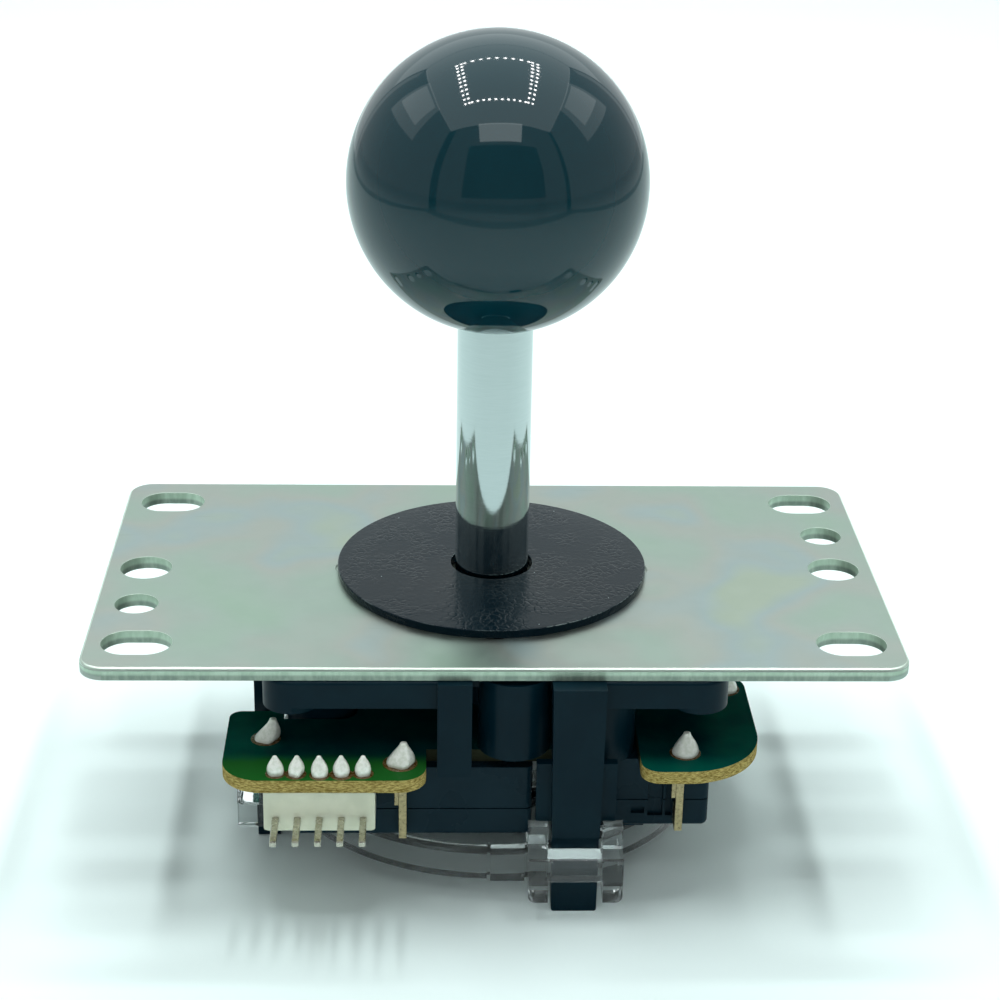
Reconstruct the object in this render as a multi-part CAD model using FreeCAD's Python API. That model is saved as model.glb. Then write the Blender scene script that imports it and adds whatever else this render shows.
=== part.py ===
import FreeCAD, Part
import math
import os

# Arcade joystick lever: a 35 mm ball on a chromed shaft, pivoting in a moulded housing
# that hangs under a slotted steel plate, with four snap switches laid flat round the
# shaft, their circuit board and a clear restrictor clipped on below.
# Millimetres. +Z runs up the shaft to the ball, X along the plate's long side.
# The origin is the centre of the plate's top face, on the shaft's axis.
# The side at -Y is called the front. What repeats round the four sides is drawn
# at the front and turned about Z by quarter turns.

Vector = FreeCAD.Vector

# Mounting plate
plate_length = 95.0
plate_width = 53.0
plate_thickness = 1.6
plate_corner_radius = 3.0
plate_edge_round = 0.45
plate_slot_inset_x = 6.1
plate_slot_inset_y = 6.3
plate_slot_length = 8.2
plate_slot_width = 6.0
plate_hole_inset = 4.9
plate_hole_radius = 3.15
plate_small_hole_radius = 2.6
plate_small_hole_offset = 10.05
plate_centre_hole_radius = 12.0

# Plate screws
screw_circle_radius = 16.5
screw_head_radius = 2.75
screw_head_height = 1.35
screw_head_depth = 0.12
screw_shank_radius = 1.5
screw_length = 7.0
screw_recess_width = 0.8
screw_recess_length = 2.9
screw_recess_depth = 0.9
screw_boss_wall = 2.0
screw_blind_run = 0.6
screw_boss_floor = 1.0

# Dust washer
washer_radius = 19.0
washer_thickness = 1.0
washer_edge = 0.12

# Fits
running_clearance = 0.05
seat_clearance = 0.02
slide_clearance = 0.1
assembly_clearance = 0.15
swing_clearance = 0.3

# Pivot and travel. The lever leans by tilt_limit_deg to each side, and both ways at a corner.
pivot_centre_z = -1.2
pivot_radius = 6.2
pivot_flat_drop = 0.1
pivot_mouth_radius = 4.4
cup_wall = 1.75
tilt_limit_deg = 7.0

# Lever shaft
shaft_radius = 4.5
shaft_top_z = 32.4
stem_radius = 3.0
stem_bottom_z = -30.2
stud_length = 12.6
shaft_chamfer = 0.5
screwdriver_slot_width = 1.2
screwdriver_slot_depth = 1.4

# Ball top
ball_radius = 17.5
ball_centre_z = 49.2
ball_insert_radius = 4.2
ball_insert_length = 14.0
ball_insert_groove = 0.5
ball_insert_blind_run = 0.5
ball_mouth_radius = 4.9

# Spring seat, spring and actuator
seat_radius = 6.0
seat_bottom_z = -10.2
seat_spigot_radius = 4.3
seat_spigot_length = 1.2
spring_wire_radius = 0.45
spring_mean_radius = 5.0
spring_pitch = 1.62
actuator_radius = 7.0
actuator_rim_z = -14.2
actuator_pocket_depth = 3.8
actuator_skirt_height = 5.5
actuator_cone_height = 1.8
actuator_pocket_radius = 5.8
actuator_core_radius = 4.3
actuator_hub_radius = 5.0
actuator_hub_chamfer = 0.4
actuator_core_rise = 1.0
actuator_core_chamfer = 0.6
clip_radius = 4.6
clip_thickness = 0.7
clip_groove_depth = 0.7
clip_gap_width = 3.4
clip_top_z = -27.45
clip_relief = 0.75
clip_relief_width = 1.6
clip_relief_angles = (35, 145)

# Body housing
deck_half = 26.8
deck_thickness = 2.4
deck_corner_radius = 3.3
deck_edge_round = 0.5
skirt_wall = 1.8
skirt_bottom_z = -5.0
corner_boss_bottom_z = -5.75
tower_outer_radius = 11.6
post_radius = 4.2
post_shift = 0.6
post_top_drop = 0.6
pin_radius = 1.45
pin_reach = 8.9
post_recess_left = -2.8
post_recess_right = 6.4
post_recess_depth = 3.4
tab_left = -6.75
tab_right = -2.8
tab_proud = 0.7
tab_thickness = 1.3
tab_bottom_z = -13.6
leg_left = 6.35
leg_right = 12.45
leg_taper = 0.4
leg_proud = 1.95
leg_thickness = 2.75
leg_bottom_z = -31.0
leg_catch_top_z = -21.0
leg_catch_bottom_z = -26.1
leg_catch_depth = 0.85
leg_tip_round = 0.3
flank_overhang = 1.6
flank_proud = 0.6
flank_thickness = 1.2
flank_bottom_z = -19.5
rib_thickness = 1.6
cut_margin = 1.0

# Circuit board
board_top_z = -11.9
board_thickness = 1.6
board_core_inset = 2.8
board_long_proud = 4.3
board_short_proud = 2.35
board_long_pad = -8.0
board_tail_back = -5.6
board_short_pad_inset = 10.0
board_outer_round = 9.0
board_inner_round = 2.2
board_end_round = 3.0
board_notch_round = 2.0
connector_pad_extra = 0.3
connector_pad_back = -14.9
connector_pad_round = 4.6
connector_pad_back_round = 1.5

# Snap switches, drawn at the front
switch_length = 27.8
switch_depth = 15.9
switch_end = 4.4
switch_inner = 9.5
switch_height = 9.2
switch_cover_height = 5.6
switch_edge_round = 0.75
switch_corner_round = 0.8
switch_seam = 0.12
switch_step_height = 0.6
switch_step_depth = 8.4
switch_step_margin = 1.2
switch_hole_inset_x = 2.8
switch_hole_inset_y = 2.8
switch_recess_depth = 0.6
switch_recess_inset = 8.7
switch_recess_wide = 1.75
switch_recess_narrow = 0.75
switch_recess_floor = 1.5
switch_rib_width = 0.35
switch_slot_inset = 6.7
switch_slot_width = 1.6
switch_slot_height = 0.9
switch_slot_floor = 1.8
plunger_width = 2.5
plunger_height = 3.2
plunger_drop = 4.8
plunger_tip = 8.2
plunger_length = 6.0
plunger_travel = 1.1
plunger_round = 0.6

# Switch terminals and solder
blade_width = 0.9
blade_thickness = 0.5
blade_bottom_z = -21.8
blade_root_height = 2.6
face_blade_x = -10.7
face_blade_reach = 2.1
end_blade_y = -21.6
end_blade_reach = 2.5
blade_stub_width = 0.5
blade_stub_bottom_z = -17.4
blade_stub_back = 0.1
blade_hole_radius = 0.7
solder_radius = 1.7
solder_height = 2.75
solder_tip_radius = 0.42
solder_waist = 0.36
solder_waist_height = 0.42
pin_solder_radius = 0.95
pin_solder_height = 2.4
pin_solder_tip_radius = 0.3

# Harness connector
connector_pin_count = 5
connector_pitch = 2.5
connector_side_inset = 4.6
connector_pin_inset = 1.5
connector_end_margin = 1.35
connector_inset = 0.1
connector_depth = 4.4
connector_height = 5.3
connector_chamfer = 0.4
connector_pin_width = 0.64
connector_pin_drop = 3.65
connector_pin_reach = 5.2
connector_pin_taper = 1.0
connector_pin_tip_width = 0.34
connector_pin_bend_round = 0.5
connector_board_hole_radius = 0.5

# Clear restrictor
restrictor_radius = 26.6
restrictor_top_z = -23.4
restrictor_plate_thickness = 1.9
restrictor_bottom_z = -27.9
restrictor_wall = 1.8
restrictor_window_radius = 14.0
restrictor_block_left = -0.4
restrictor_block_right = 3.6
restrictor_block_proud = 0.5
restrictor_step_width = 1.3
restrictor_step_back = 0.45
restrictor_step_rise = 0.3
restrictor_groove_width = 0.4
restrictor_groove_depth = 1.3
loop_post_width = 2.3
loop_arm_reach = 2.7
loop_arm_overlap = 0.4
loop_back_wall = 1.0
loop_proud = 2.2
loop_depth = 3.95
loop_shoulder_depth = 1.55
loop_post_top_z = -19.6
loop_front_top_z = -22.8
loop_bottom_z = -28.4
loop_bar_top_z = -22.6
loop_bar_bottom_z = -25.8
loop_bar_thickness = 2.5
loop_bar_round = 0.4
loop_foot_round = 0.9
gate_corner_radius = 1.5
gate_top_z = -23.9
gate_flange_radius = 15.2
gate_flange_thickness = 1.3
gate_bottom_z = -27.7
gate_hook_room = 1.2
gate_hook_width = 5.0
gate_hook_wall = 1.3
gate_hook_lip = 0.9
gate_hook_lip_height = 0.9

# Levels and radii that follow from the sizes above
plate_bottom_z = -plate_thickness
deck_bottom_z = plate_bottom_z - deck_thickness
leg_top_z = plate_bottom_z - running_clearance
leg_front = deck_half + leg_proud
leg_back = leg_front - leg_thickness
flank_front = deck_half + flank_proud
tab_front = deck_half + tab_proud
board_core_half = deck_half - board_core_inset
board_long_reach = deck_half + board_long_proud
board_short_reach = deck_half + board_short_proud
board_short_pad = deck_half - board_short_pad_inset
connector_pin_y = connector_pin_inset - board_long_reach
connector_pad_left = -board_long_reach - connector_pad_extra
connector_front = board_long_reach - connector_inset
connector_back = connector_front - connector_depth
connector_length = connector_pitch * (connector_pin_count - 1) + 2 * connector_end_margin
connector_left = connector_side_inset - board_long_reach
board_bottom_z = board_top_z - board_thickness
connector_bottom_z = board_bottom_z - connector_height
connector_pin_z = board_bottom_z - connector_pin_drop
switch_outer = switch_inner + switch_depth
switch_far_end = switch_end - switch_length
face_blade_front = switch_outer + face_blade_reach
end_blade_left = switch_far_end - end_blade_reach
switch_bottom_z = board_bottom_z - switch_height
switch_split_z = board_bottom_z - switch_cover_height
switch_hole_near = (switch_end - switch_hole_inset_x, -(switch_outer - switch_hole_inset_y))
switch_hole_far = (switch_far_end + switch_hole_inset_x, -(switch_inner + switch_hole_inset_y))
plunger_z = board_bottom_z - plunger_drop
pin_hole_radius = pin_radius + assembly_clearance
board_window_radius = tower_outer_radius + assembly_clearance
tower_bottom_z = board_bottom_z + running_clearance
restrictor_plate_bottom_z = restrictor_top_z - restrictor_plate_thickness
restrictor_block_front = restrictor_radius + restrictor_block_proud
loop_front = leg_front + loop_proud
loop_back = loop_front - loop_depth
loop_shoulder = loop_back + loop_shoulder_depth
loop_bar_back = loop_front - loop_bar_thickness

# The swinging parts and the room they need
side_tilt = math.radians(tilt_limit_deg)
corner_tilt = math.acos(math.cos(side_tilt) ** 2)
pivot_top_z = pivot_centre_z - pivot_flat_drop
cup_radius = pivot_radius + running_clearance
cup_outer_radius = cup_radius + cup_wall
stem_bore_radius = stem_radius + running_clearance
groove_radius = stem_radius - clip_groove_depth
actuator_floor_z = actuator_rim_z - actuator_pocket_depth
actuator_skirt_z = actuator_rim_z - actuator_skirt_height
actuator_cone_z = actuator_skirt_z - actuator_cone_height
hub_bottom_z = clip_top_z + running_clearance
washer_swing = (washer_thickness - pivot_centre_z) * math.tan(corner_tilt)
washer_hole_radius = shaft_radius / math.cos(corner_tilt) + washer_swing + running_clearance
throat_swing = cup_outer_radius * math.sin(corner_tilt)
cup_throat_radius = stem_radius / math.cos(corner_tilt) + throat_swing + assembly_clearance
rim_swing = (pivot_centre_z - actuator_rim_z) * math.sin(corner_tilt)
tower_inner_radius = actuator_radius + rim_swing + swing_clearance
hub_swing = (pivot_centre_z - hub_bottom_z) * math.sin(side_tilt)
gate_opening_half = actuator_hub_radius * math.cos(side_tilt) + hub_swing + slide_clearance
sides = ("front", "right", "back", "left")


def box(x_low, x_high, y_low, y_high, z_low, z_high):
    size = (x_high - x_low, y_high - y_low, z_high - z_low)
    return Part.makeBox(*size, Vector(x_low, y_low, z_low))


def cylinder(x, y, radius, z_low, z_high):
    return Part.makeCylinder(radius, z_high - z_low, Vector(x, y, z_low))


def sphere(radius, z):
    return Part.makeSphere(radius, Vector(0, 0, z))


def turned(shape, quarter):
    copy = shape.copy()
    copy.rotate(Vector(0, 0, 0), Vector(0, 0, 1), 90.0 * quarter)
    return copy


def fused(shapes):
    whole = shapes[0]
    if len(shapes) > 1:
        whole = whole.fuse(shapes[1:])
    return whole.removeSplitter()


def outline(corners):
    """A closed wire at z = 0 through corners (x, y, radius), listed counter-clockwise."""
    edges = []
    ends = []
    count = len(corners)
    for index in range(count):
        here = Vector(corners[index][0], corners[index][1], 0)
        radius = corners[index][2]
        before = Vector(corners[index - 1][0], corners[index - 1][1], 0) - here
        after = Vector(corners[(index + 1) % count][0], corners[(index + 1) % count][1], 0) - here
        before.normalize()
        after.normalize()
        half_angle = before.getAngle(after) / 2
        setback = radius / math.tan(half_angle)
        start = here + before * setback
        end = here + after * setback
        if radius > 0:
            bisector = before + after
            bisector.normalize()
            centre = here + bisector * (radius / math.sin(half_angle))
            middle = centre - bisector * radius
            edges.append(Part.Arc(start, middle, end).toShape())
        ends.append((start, end))
    for index in range(count):
        start = ends[index][1]
        end = ends[(index + 1) % count][0]
        if start.distanceToPoint(end) > 1e-6:
            edges.append(Part.makeLine(start, end))
    return Part.Wire(Part.__sortEdges__(edges))


def prism(corners, z_low, z_high):
    face = Part.Face(outline(corners))
    solid = face.extrude(Vector(0, 0, z_high - z_low))
    solid.translate(Vector(0, 0, z_low))
    return solid


def rectangle(x_low, x_high, y_low, y_high, radius):
    points = ((x_low, y_low), (x_high, y_low), (x_high, y_high), (x_low, y_high))
    return [(x, y, radius) for x, y in points]


def turned_profile(points):
    """A solid of revolution about Z from (radius, z) points."""
    vectors = [Vector(radius, 0, z) for radius, z in points]
    wire = Part.makePolygon(vectors + [vectors[0]])
    return Part.Face(wire).revolve(Vector(0, 0, 0), Vector(0, 0, 1), 360)


def rounded(shape, radius, chosen):
    edges = [edge for edge in shape.Edges if chosen(edge)]
    return shape.makeFillet(radius, edges)


def flat_edge_at(edge, z):
    bounds = edge.BoundBox
    return abs(bounds.ZMin - z) < 1e-4 and abs(bounds.ZMax - z) < 1e-4


def mounting_plate():
    blank = rectangle(-plate_length / 2, plate_length / 2, -plate_width / 2, plate_width / 2,
                      plate_corner_radius)
    plate = prism(blank, plate_bottom_z, 0)
    plate = rounded(plate, plate_edge_round, lambda edge: flat_edge_at(edge, 0))
    through = (plate_bottom_z - cut_margin, cut_margin)
    cuts = [cylinder(0, 0, plate_centre_hole_radius, *through)]
    slot_run = (plate_slot_length - plate_slot_width) / 2
    for side_x in (-1, 1):
        for side_y in (-1, 1):
            x = side_x * (plate_length / 2 - plate_slot_inset_x)
            y = side_y * (plate_width / 2 - plate_slot_inset_y)
            half = plate_slot_width / 2
            cuts.append(box(x - slot_run, x + slot_run, y - half, y + half, *through))
            cuts.append(cylinder(x - slot_run, y, half, *through))
            cuts.append(cylinder(x + slot_run, y, half, *through))
        x = side_x * (plate_length / 2 - plate_hole_inset)
        cuts.append(cylinder(x, 0, plate_hole_radius, *through))
        cuts.append(cylinder(x, side_x * plate_small_hole_offset, plate_small_hole_radius, *through))
    for quarter in range(4):
        cuts.append(turned(screw_hole(), quarter))
    return plate.cut(cuts)


def screw_body(allowance, top_z, length):
    """A countersunk screw's outline about Z, grown by an allowance."""
    neck = screw_shank_radius + allowance
    head = screw_head_radius + allowance
    cone_z = -screw_head_depth - screw_head_height
    points = [(0, top_z), (head, top_z), (neck, cone_z), (neck, -length), (0, -length)]
    if top_z > -screw_head_depth:
        points.insert(2, (head, -screw_head_depth))
    solid = turned_profile(points)
    solid.translate(Vector(0, -screw_circle_radius, 0))
    return solid


def screw_hole():
    return screw_body(seat_clearance, cut_margin, screw_length + screw_blind_run)


def plate_screws():
    blank = screw_body(0, -screw_head_depth, screw_length)
    half_long = screw_recess_length / 2
    half_wide = screw_recess_width / 2
    floor_z = -screw_head_depth - screw_recess_depth
    cross = [box(-half_long, half_long, -half_wide, half_wide, floor_z, cut_margin),
             box(-half_wide, half_wide, -half_long, half_long, floor_z, cut_margin)]
    for bar in cross:
        bar.translate(Vector(0, -screw_circle_radius, 0))
    screw = blank.cut(cross)
    return Part.makeCompound([turned(screw, quarter) for quarter in range(4)])


def dust_washer():
    return turned_profile([(washer_hole_radius, 0), (washer_radius, 0),
                           (washer_radius, washer_thickness - washer_edge),
                           (washer_radius - washer_edge, washer_thickness),
                           (washer_hole_radius, washer_thickness)])


def housing_side():
    """What one side of the housing carries: two switch posts, a board tab and a long leg."""
    near_x, near_y = switch_hole_near
    far_x, far_y = switch_hole_far
    pin_bottom_z = board_bottom_z - pin_reach
    pieces = [
        cylinder(near_x + post_shift, near_y, post_radius, board_top_z,
                 plate_bottom_z - post_top_drop),
        cylinder(near_x, near_y, pin_radius, pin_bottom_z, board_top_z),
        cylinder(far_x, far_y, post_radius, board_bottom_z, deck_bottom_z),
        cylinder(far_x, far_y, pin_radius, pin_bottom_z, board_bottom_z),
        box(tab_left, tab_right, -tab_front, -tab_front + tab_thickness, tab_bottom_z, leg_top_z),
        box(-rib_thickness / 2, rib_thickness / 2, -deck_half + skirt_wall,
            -tower_outer_radius + cut_margin,
            skirt_bottom_z, deck_bottom_z),
        box(leg_left - flank_overhang, leg_right + flank_overhang, -flank_front,
            -flank_front + flank_thickness,
            flank_bottom_z, board_top_z),
        leg(),
    ]
    return pieces


def leg():
    """The long snap leg: tapered in width, with a catch that takes the restrictor's bar."""
    points = [Vector(leg_left, 0, leg_top_z), Vector(leg_right, 0, leg_top_z),
              Vector(leg_right - leg_taper, 0, leg_bottom_z),
              Vector(leg_left + leg_taper, 0, leg_bottom_z)]
    face = Part.Face(Part.makePolygon(points + [points[0]]))
    face.translate(Vector(0, -leg_front, 0))
    solid = face.extrude(Vector(0, leg_front - leg_back, 0))
    solid = rounded(solid, leg_tip_round, leg_tip_edge)
    catch_points = [Vector(0, -leg_front, leg_catch_top_z),
                    Vector(0, -leg_front + leg_catch_depth, leg_catch_top_z - leg_catch_depth / 2),
                    Vector(0, -leg_front + leg_catch_depth, leg_catch_bottom_z),
                    Vector(0, -leg_front, leg_catch_bottom_z)]
    catch = Part.Face(Part.makePolygon(catch_points + [catch_points[0]]))
    catch.translate(Vector(leg_left - cut_margin, 0, 0))
    return solid.cut(catch.extrude(Vector(leg_right - leg_left + 2 * cut_margin, 0, 0)))


def leg_tip_edge(edge):
    bounds = edge.BoundBox
    at_tip = abs(bounds.ZMax - leg_bottom_z) < 1e-4
    return at_tip and bounds.YLength > bounds.XLength


def body_housing():
    deck_outline = rectangle(-deck_half, deck_half, -deck_half, deck_half, deck_corner_radius)
    deck = prism(deck_outline, skirt_bottom_z, plate_bottom_z)
    deck = rounded(deck, deck_edge_round, lambda edge: flat_edge_at(edge, plate_bottom_z))
    inner = deck_half - skirt_wall
    hollow = prism(rectangle(-inner, inner, -inner, inner, deck_corner_radius - skirt_wall),
                   skirt_bottom_z - cut_margin, deck_bottom_z)
    deck = deck.cut(hollow)
    recess = box(post_recess_left, post_recess_right, -deck_half - cut_margin,
                 -deck_half + post_recess_depth, skirt_bottom_z - cut_margin,
                 plate_bottom_z + cut_margin)
    deck = deck.cut([turned(recess, quarter) for quarter in range(4)])
    boss_place = deck_half - deck_corner_radius
    pieces = [deck]
    for side_x in (-1, 1):
        for side_y in (-1, 1):
            pieces.append(cylinder(side_x * boss_place, side_y * boss_place, deck_corner_radius,
                                   corner_boss_bottom_z, deck_bottom_z))
    tower = cylinder(0, 0, tower_outer_radius, tower_bottom_z, deck_bottom_z)
    tower_bore = cylinder(0, 0, tower_inner_radius, tower_bottom_z - cut_margin, deck_bottom_z)
    pieces.append(tower.cut(tower_bore))
    screw_boss_bottom_z = -screw_length - screw_blind_run - screw_boss_floor
    for quarter in range(4):
        pieces += [turned(piece, quarter) for piece in housing_side()]
        boss = cylinder(0, -screw_circle_radius, screw_shank_radius + screw_boss_wall,
                        screw_boss_bottom_z, deck_bottom_z)
        pieces.append(turned(boss, quarter))
    cup = sphere(cup_outer_radius, pivot_centre_z)
    cup = cup.common(box(-cup_outer_radius, cup_outer_radius, -cup_outer_radius, cup_outer_radius,
                         pivot_centre_z - cup_outer_radius, plate_bottom_z))
    pieces.append(cup)
    housing = fused(pieces)
    cuts = [sphere(cup_radius, pivot_centre_z),
            cylinder(0, 0, cup_throat_radius, pivot_centre_z - cup_outer_radius - cut_margin,
                     pivot_centre_z)]
    cuts += [turned(screw_hole(), quarter) for quarter in range(4)]
    return housing.cut(cuts)


def board_pad():
    """One corner of the circuit board, at the front right."""
    return [(board_short_pad, -board_short_reach, board_inner_round),
            (board_long_reach, -board_short_reach, board_outer_round),
            (board_long_reach, board_long_pad, board_end_round),
            (board_short_pad, board_long_pad, 0)]


def board_tail():
    """The right-hand pad's longer end, which passes outside the housing's tab."""
    inner = tab_front + assembly_clearance
    start = board_long_pad - board_end_round
    return [(inner, start, 0), (board_long_reach, start, 0),
            (board_long_reach, board_tail_back, board_end_round), (inner, board_tail_back, 0)]


def board_notch():
    """The open notch that lets a switch's far post down past the board."""
    far_x, far_y = switch_hole_far
    room = post_radius + assembly_clearance
    outside = -board_core_half - cut_margin
    return [(outside, -board_short_pad, 0), (far_x + room, -board_short_pad, board_notch_round),
            (far_x + room, far_y + room, board_notch_round), (outside, far_y + room, 0)]


def circuit_board():
    core = rectangle(-board_core_half, board_core_half, -board_core_half, board_core_half, 0)
    pieces = [prism(core, board_bottom_z, board_top_z)]
    for quarter in range(4):
        pieces.append(turned(prism(board_pad(), board_bottom_z, board_top_z), quarter))
    pieces.append(prism(board_tail(), board_bottom_z, board_top_z))
    connector_pad = [(connector_pad_left, -board_long_reach, connector_pad_round),
                     (board_long_pad, -board_long_reach, board_end_round),
                     (board_long_pad, connector_pad_back, 0),
                     (connector_pad_left, connector_pad_back, connector_pad_back_round)]
    pieces.append(prism(connector_pad, board_bottom_z, board_top_z))
    board = fused(pieces)
    through = (board_bottom_z - cut_margin, board_top_z + cut_margin)
    cuts = [cylinder(0, 0, board_window_radius, *through)]
    for quarter in range(4):
        cuts.append(turned(cylinder(*switch_hole_near, pin_hole_radius, *through), quarter))
        cuts.append(turned(prism(board_notch(), *through), quarter))
        for x, y in blade_places():
            cuts.append(turned(cylinder(x, y, blade_hole_radius, *through), quarter))
    for x in connector_pin_places():
        cuts.append(cylinder(x, connector_pin_y, connector_board_hole_radius, *through))
    return board.cut(cuts)


def blade_places():
    """Where the two terminal blades of the front switch come up through the board."""
    face_place = (face_blade_x, -face_blade_front + blade_thickness / 2)
    end_place = (end_blade_left + blade_thickness / 2, end_blade_y)
    return [face_place, end_place]


def connector_pin_places():
    first = connector_left + connector_end_margin
    return [first + connector_pitch * index for index in range(connector_pin_count)]


def switch_block(inset, z_low, z_high):
    blank = rectangle(switch_far_end + inset, switch_end - inset, -switch_outer + inset,
                      -switch_inner - inset, switch_corner_round)
    return prism(blank, z_low, z_high)


def switch_openings():
    """The plunger's guide, the two mounting holes and the recesses in the far end."""
    half_width = plunger_width / 2 + slide_clearance
    half_height = plunger_height / 2 + slide_clearance
    pocket_back = plunger_tip + plunger_length + plunger_travel + slide_clearance
    cuts = [box(-half_width, half_width, -pocket_back, -switch_inner + cut_margin,
                plunger_z - half_height, plunger_z + half_height)]
    low = switch_bottom_z - switch_step_height - cut_margin
    for x, y in (switch_hole_near, switch_hole_far):
        cuts.append(cylinder(x, y, pin_hole_radius, low, board_bottom_z + cut_margin))
    wide_near = -switch_inner - switch_recess_inset
    narrow_near = wide_near - switch_recess_wide - switch_rib_width
    recess_floor_z = switch_bottom_z + switch_recess_floor
    slot_near = -switch_inner - switch_slot_inset
    slot_floor_z = switch_bottom_z + switch_slot_floor
    for near, width, floor_z, roof_z in (
            (wide_near, switch_recess_wide, recess_floor_z, board_bottom_z + cut_margin),
            (narrow_near, switch_recess_narrow, recess_floor_z, board_bottom_z + cut_margin),
            (slot_near, switch_slot_width, slot_floor_z, slot_floor_z + switch_slot_height)):
        cuts.append(box(switch_far_end - cut_margin, switch_far_end + switch_recess_depth,
                        near - width, near, floor_z, roof_z))
    return cuts


def switch_case():
    case = switch_block(0, switch_bottom_z, switch_split_z)
    case = rounded(case, switch_edge_round, lambda edge: flat_edge_at(edge, switch_bottom_z))
    step = box(switch_far_end + switch_step_margin, switch_end - switch_step_margin,
               -switch_inner - switch_step_depth, -switch_inner - switch_step_margin,
               switch_bottom_z - switch_step_height, switch_bottom_z + cut_margin)
    case = fused([case, step])
    return case.cut(switch_openings())


def switch_cover():
    """The lid on the case's upper side, with a fine step along the seam."""
    lid = switch_block(0, switch_split_z + switch_seam, board_bottom_z)
    tongue = switch_block(switch_seam, switch_split_z, switch_split_z + switch_seam)
    return fused([lid, tongue]).cut(switch_openings())


def switch_plunger():
    half_width = plunger_width / 2
    half_height = plunger_height / 2
    blank = box(-half_width, half_width, -plunger_tip - plunger_length, -plunger_tip,
                plunger_z - half_height, plunger_z + half_height)
    tip = -plunger_tip
    return rounded(blank, plunger_round, lambda edge: tip_edge(edge, tip))


def tip_edge(edge, y):
    bounds = edge.BoundBox
    at_tip = abs(bounds.YMin - y) < 1e-4 and abs(bounds.YMax - y) < 1e-4
    return at_tip and bounds.XLength > 1e-3


def switch_terminals():
    """The blade on the switch's outer face and the blade on its far end."""
    half = blade_width / 2
    face_back = -face_blade_front + blade_thickness
    face_upright = box(face_blade_x - half, face_blade_x + half, -face_blade_front, face_back,
                       blade_bottom_z, board_top_z)
    face_root = box(face_blade_x - half, face_blade_x + half, -face_blade_front, -switch_outer,
                    blade_bottom_z, blade_bottom_z + blade_root_height)
    face_stub = box(face_blade_x - half - blade_stub_width, face_blade_x - half,
                    -face_blade_front + blade_stub_back, face_back, blade_stub_bottom_z,
                    board_bottom_z)
    end_right = end_blade_left + blade_thickness
    end_upright = box(end_blade_left, end_right, end_blade_y - half, end_blade_y + half,
                      blade_bottom_z, board_top_z)
    end_root = box(end_blade_left, switch_far_end, end_blade_y - half, end_blade_y + half,
                   blade_bottom_z, blade_bottom_z + blade_root_height)
    end_stub = box(end_blade_left + blade_stub_back, end_right, end_blade_y + half,
                   end_blade_y + half + blade_stub_width, blade_stub_bottom_z, board_bottom_z)
    return Part.makeCompound([fused([face_upright, face_root, face_stub]),
                              fused([end_upright, end_root, end_stub])])


def solder_cone(x, y, radius, tip_radius, height):
    """A joint that climbs its pin in a hollow curve."""
    waist = tip_radius + solder_waist * (radius - tip_radius)
    foot = Vector(radius, 0, 0)
    middle = Vector(waist, 0, height * solder_waist_height)
    crown = Vector(tip_radius, 0, height)
    edges = [Part.makeLine(Vector(0, 0, 0), foot), Part.Arc(foot, middle, crown).toShape(),
             Part.makeLine(crown, Vector(0, 0, height)),
             Part.makeLine(Vector(0, 0, height), Vector(0, 0, 0))]
    solid = Part.Face(Part.Wire(edges)).revolve(Vector(0, 0, 0), Vector(0, 0, 1), 360)
    solid.translate(Vector(x, y, board_top_z))
    return solid


def solder_joints():
    cones = []
    for quarter in range(4):
        for x, y in blade_places():
            cone = solder_cone(x, y, solder_radius, solder_tip_radius, solder_height)
            cones.append(turned(cone, quarter))
    for x in connector_pin_places():
        cones.append(solder_cone(x, connector_pin_y, pin_solder_radius, pin_solder_tip_radius,
                                 pin_solder_height))
    return Part.makeCompound(cones)


def connector_housing():
    """The right-angle header's nylon body, with a channel for each bent pin."""
    block = box(connector_left, connector_left + connector_length, -connector_front, -connector_back,
                connector_bottom_z, board_bottom_z)
    block = block.makeChamfer(connector_chamfer, [edge for edge in block.Edges
                                                  if flat_edge_at(edge, connector_bottom_z)])
    half = connector_pin_width / 2 + seat_clearance
    cuts = []
    for x in connector_pin_places():
        cuts.append(box(x - half, x + half, connector_pin_y - half, connector_pin_y + half,
                        connector_pin_z - half, board_bottom_z + cut_margin))
        cuts.append(box(x - half, x + half, -connector_front - cut_margin, connector_pin_y + half,
                        connector_pin_z - half, connector_pin_z + half))
    return block.cut(cuts)


def connector_pin():
    """One pin at x = 0: down from the board, round the bend and out to the front."""
    half = connector_pin_width / 2
    half_tip = connector_pin_tip_width / 2
    taper_start = connector_front + connector_pin_reach - connector_pin_taper
    upright = box(-half, half, connector_pin_y - half, connector_pin_y + half,
                  connector_pin_z - half, board_top_z)
    run = box(-half, half, -taper_start, connector_pin_y + half, connector_pin_z - half,
              connector_pin_z + half)
    pin = rounded(fused([upright, run]), connector_pin_bend_round, bend_edge)
    tip = Part.makeWedge(-half, 0, -half, -half_tip, -half_tip,
                         half, connector_pin_taper, half, half_tip, half_tip)
    tip.rotate(Vector(0, 0, 0), Vector(0, 0, 1), 180)
    tip.translate(Vector(0, -taper_start, connector_pin_z))
    return fused([pin, tip])


def bend_edge(edge):
    bounds = edge.BoundBox
    behind = abs(bounds.YMin - connector_pin_y - connector_pin_width / 2) < 1e-4
    return behind and flat_edge_at(edge, connector_pin_z - connector_pin_width / 2)


def connector_pins():
    pins = []
    for x in connector_pin_places():
        pin = connector_pin()
        pin.translate(Vector(x, 0, 0))
        pins.append(pin)
    return Part.makeCompound(pins)


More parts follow.
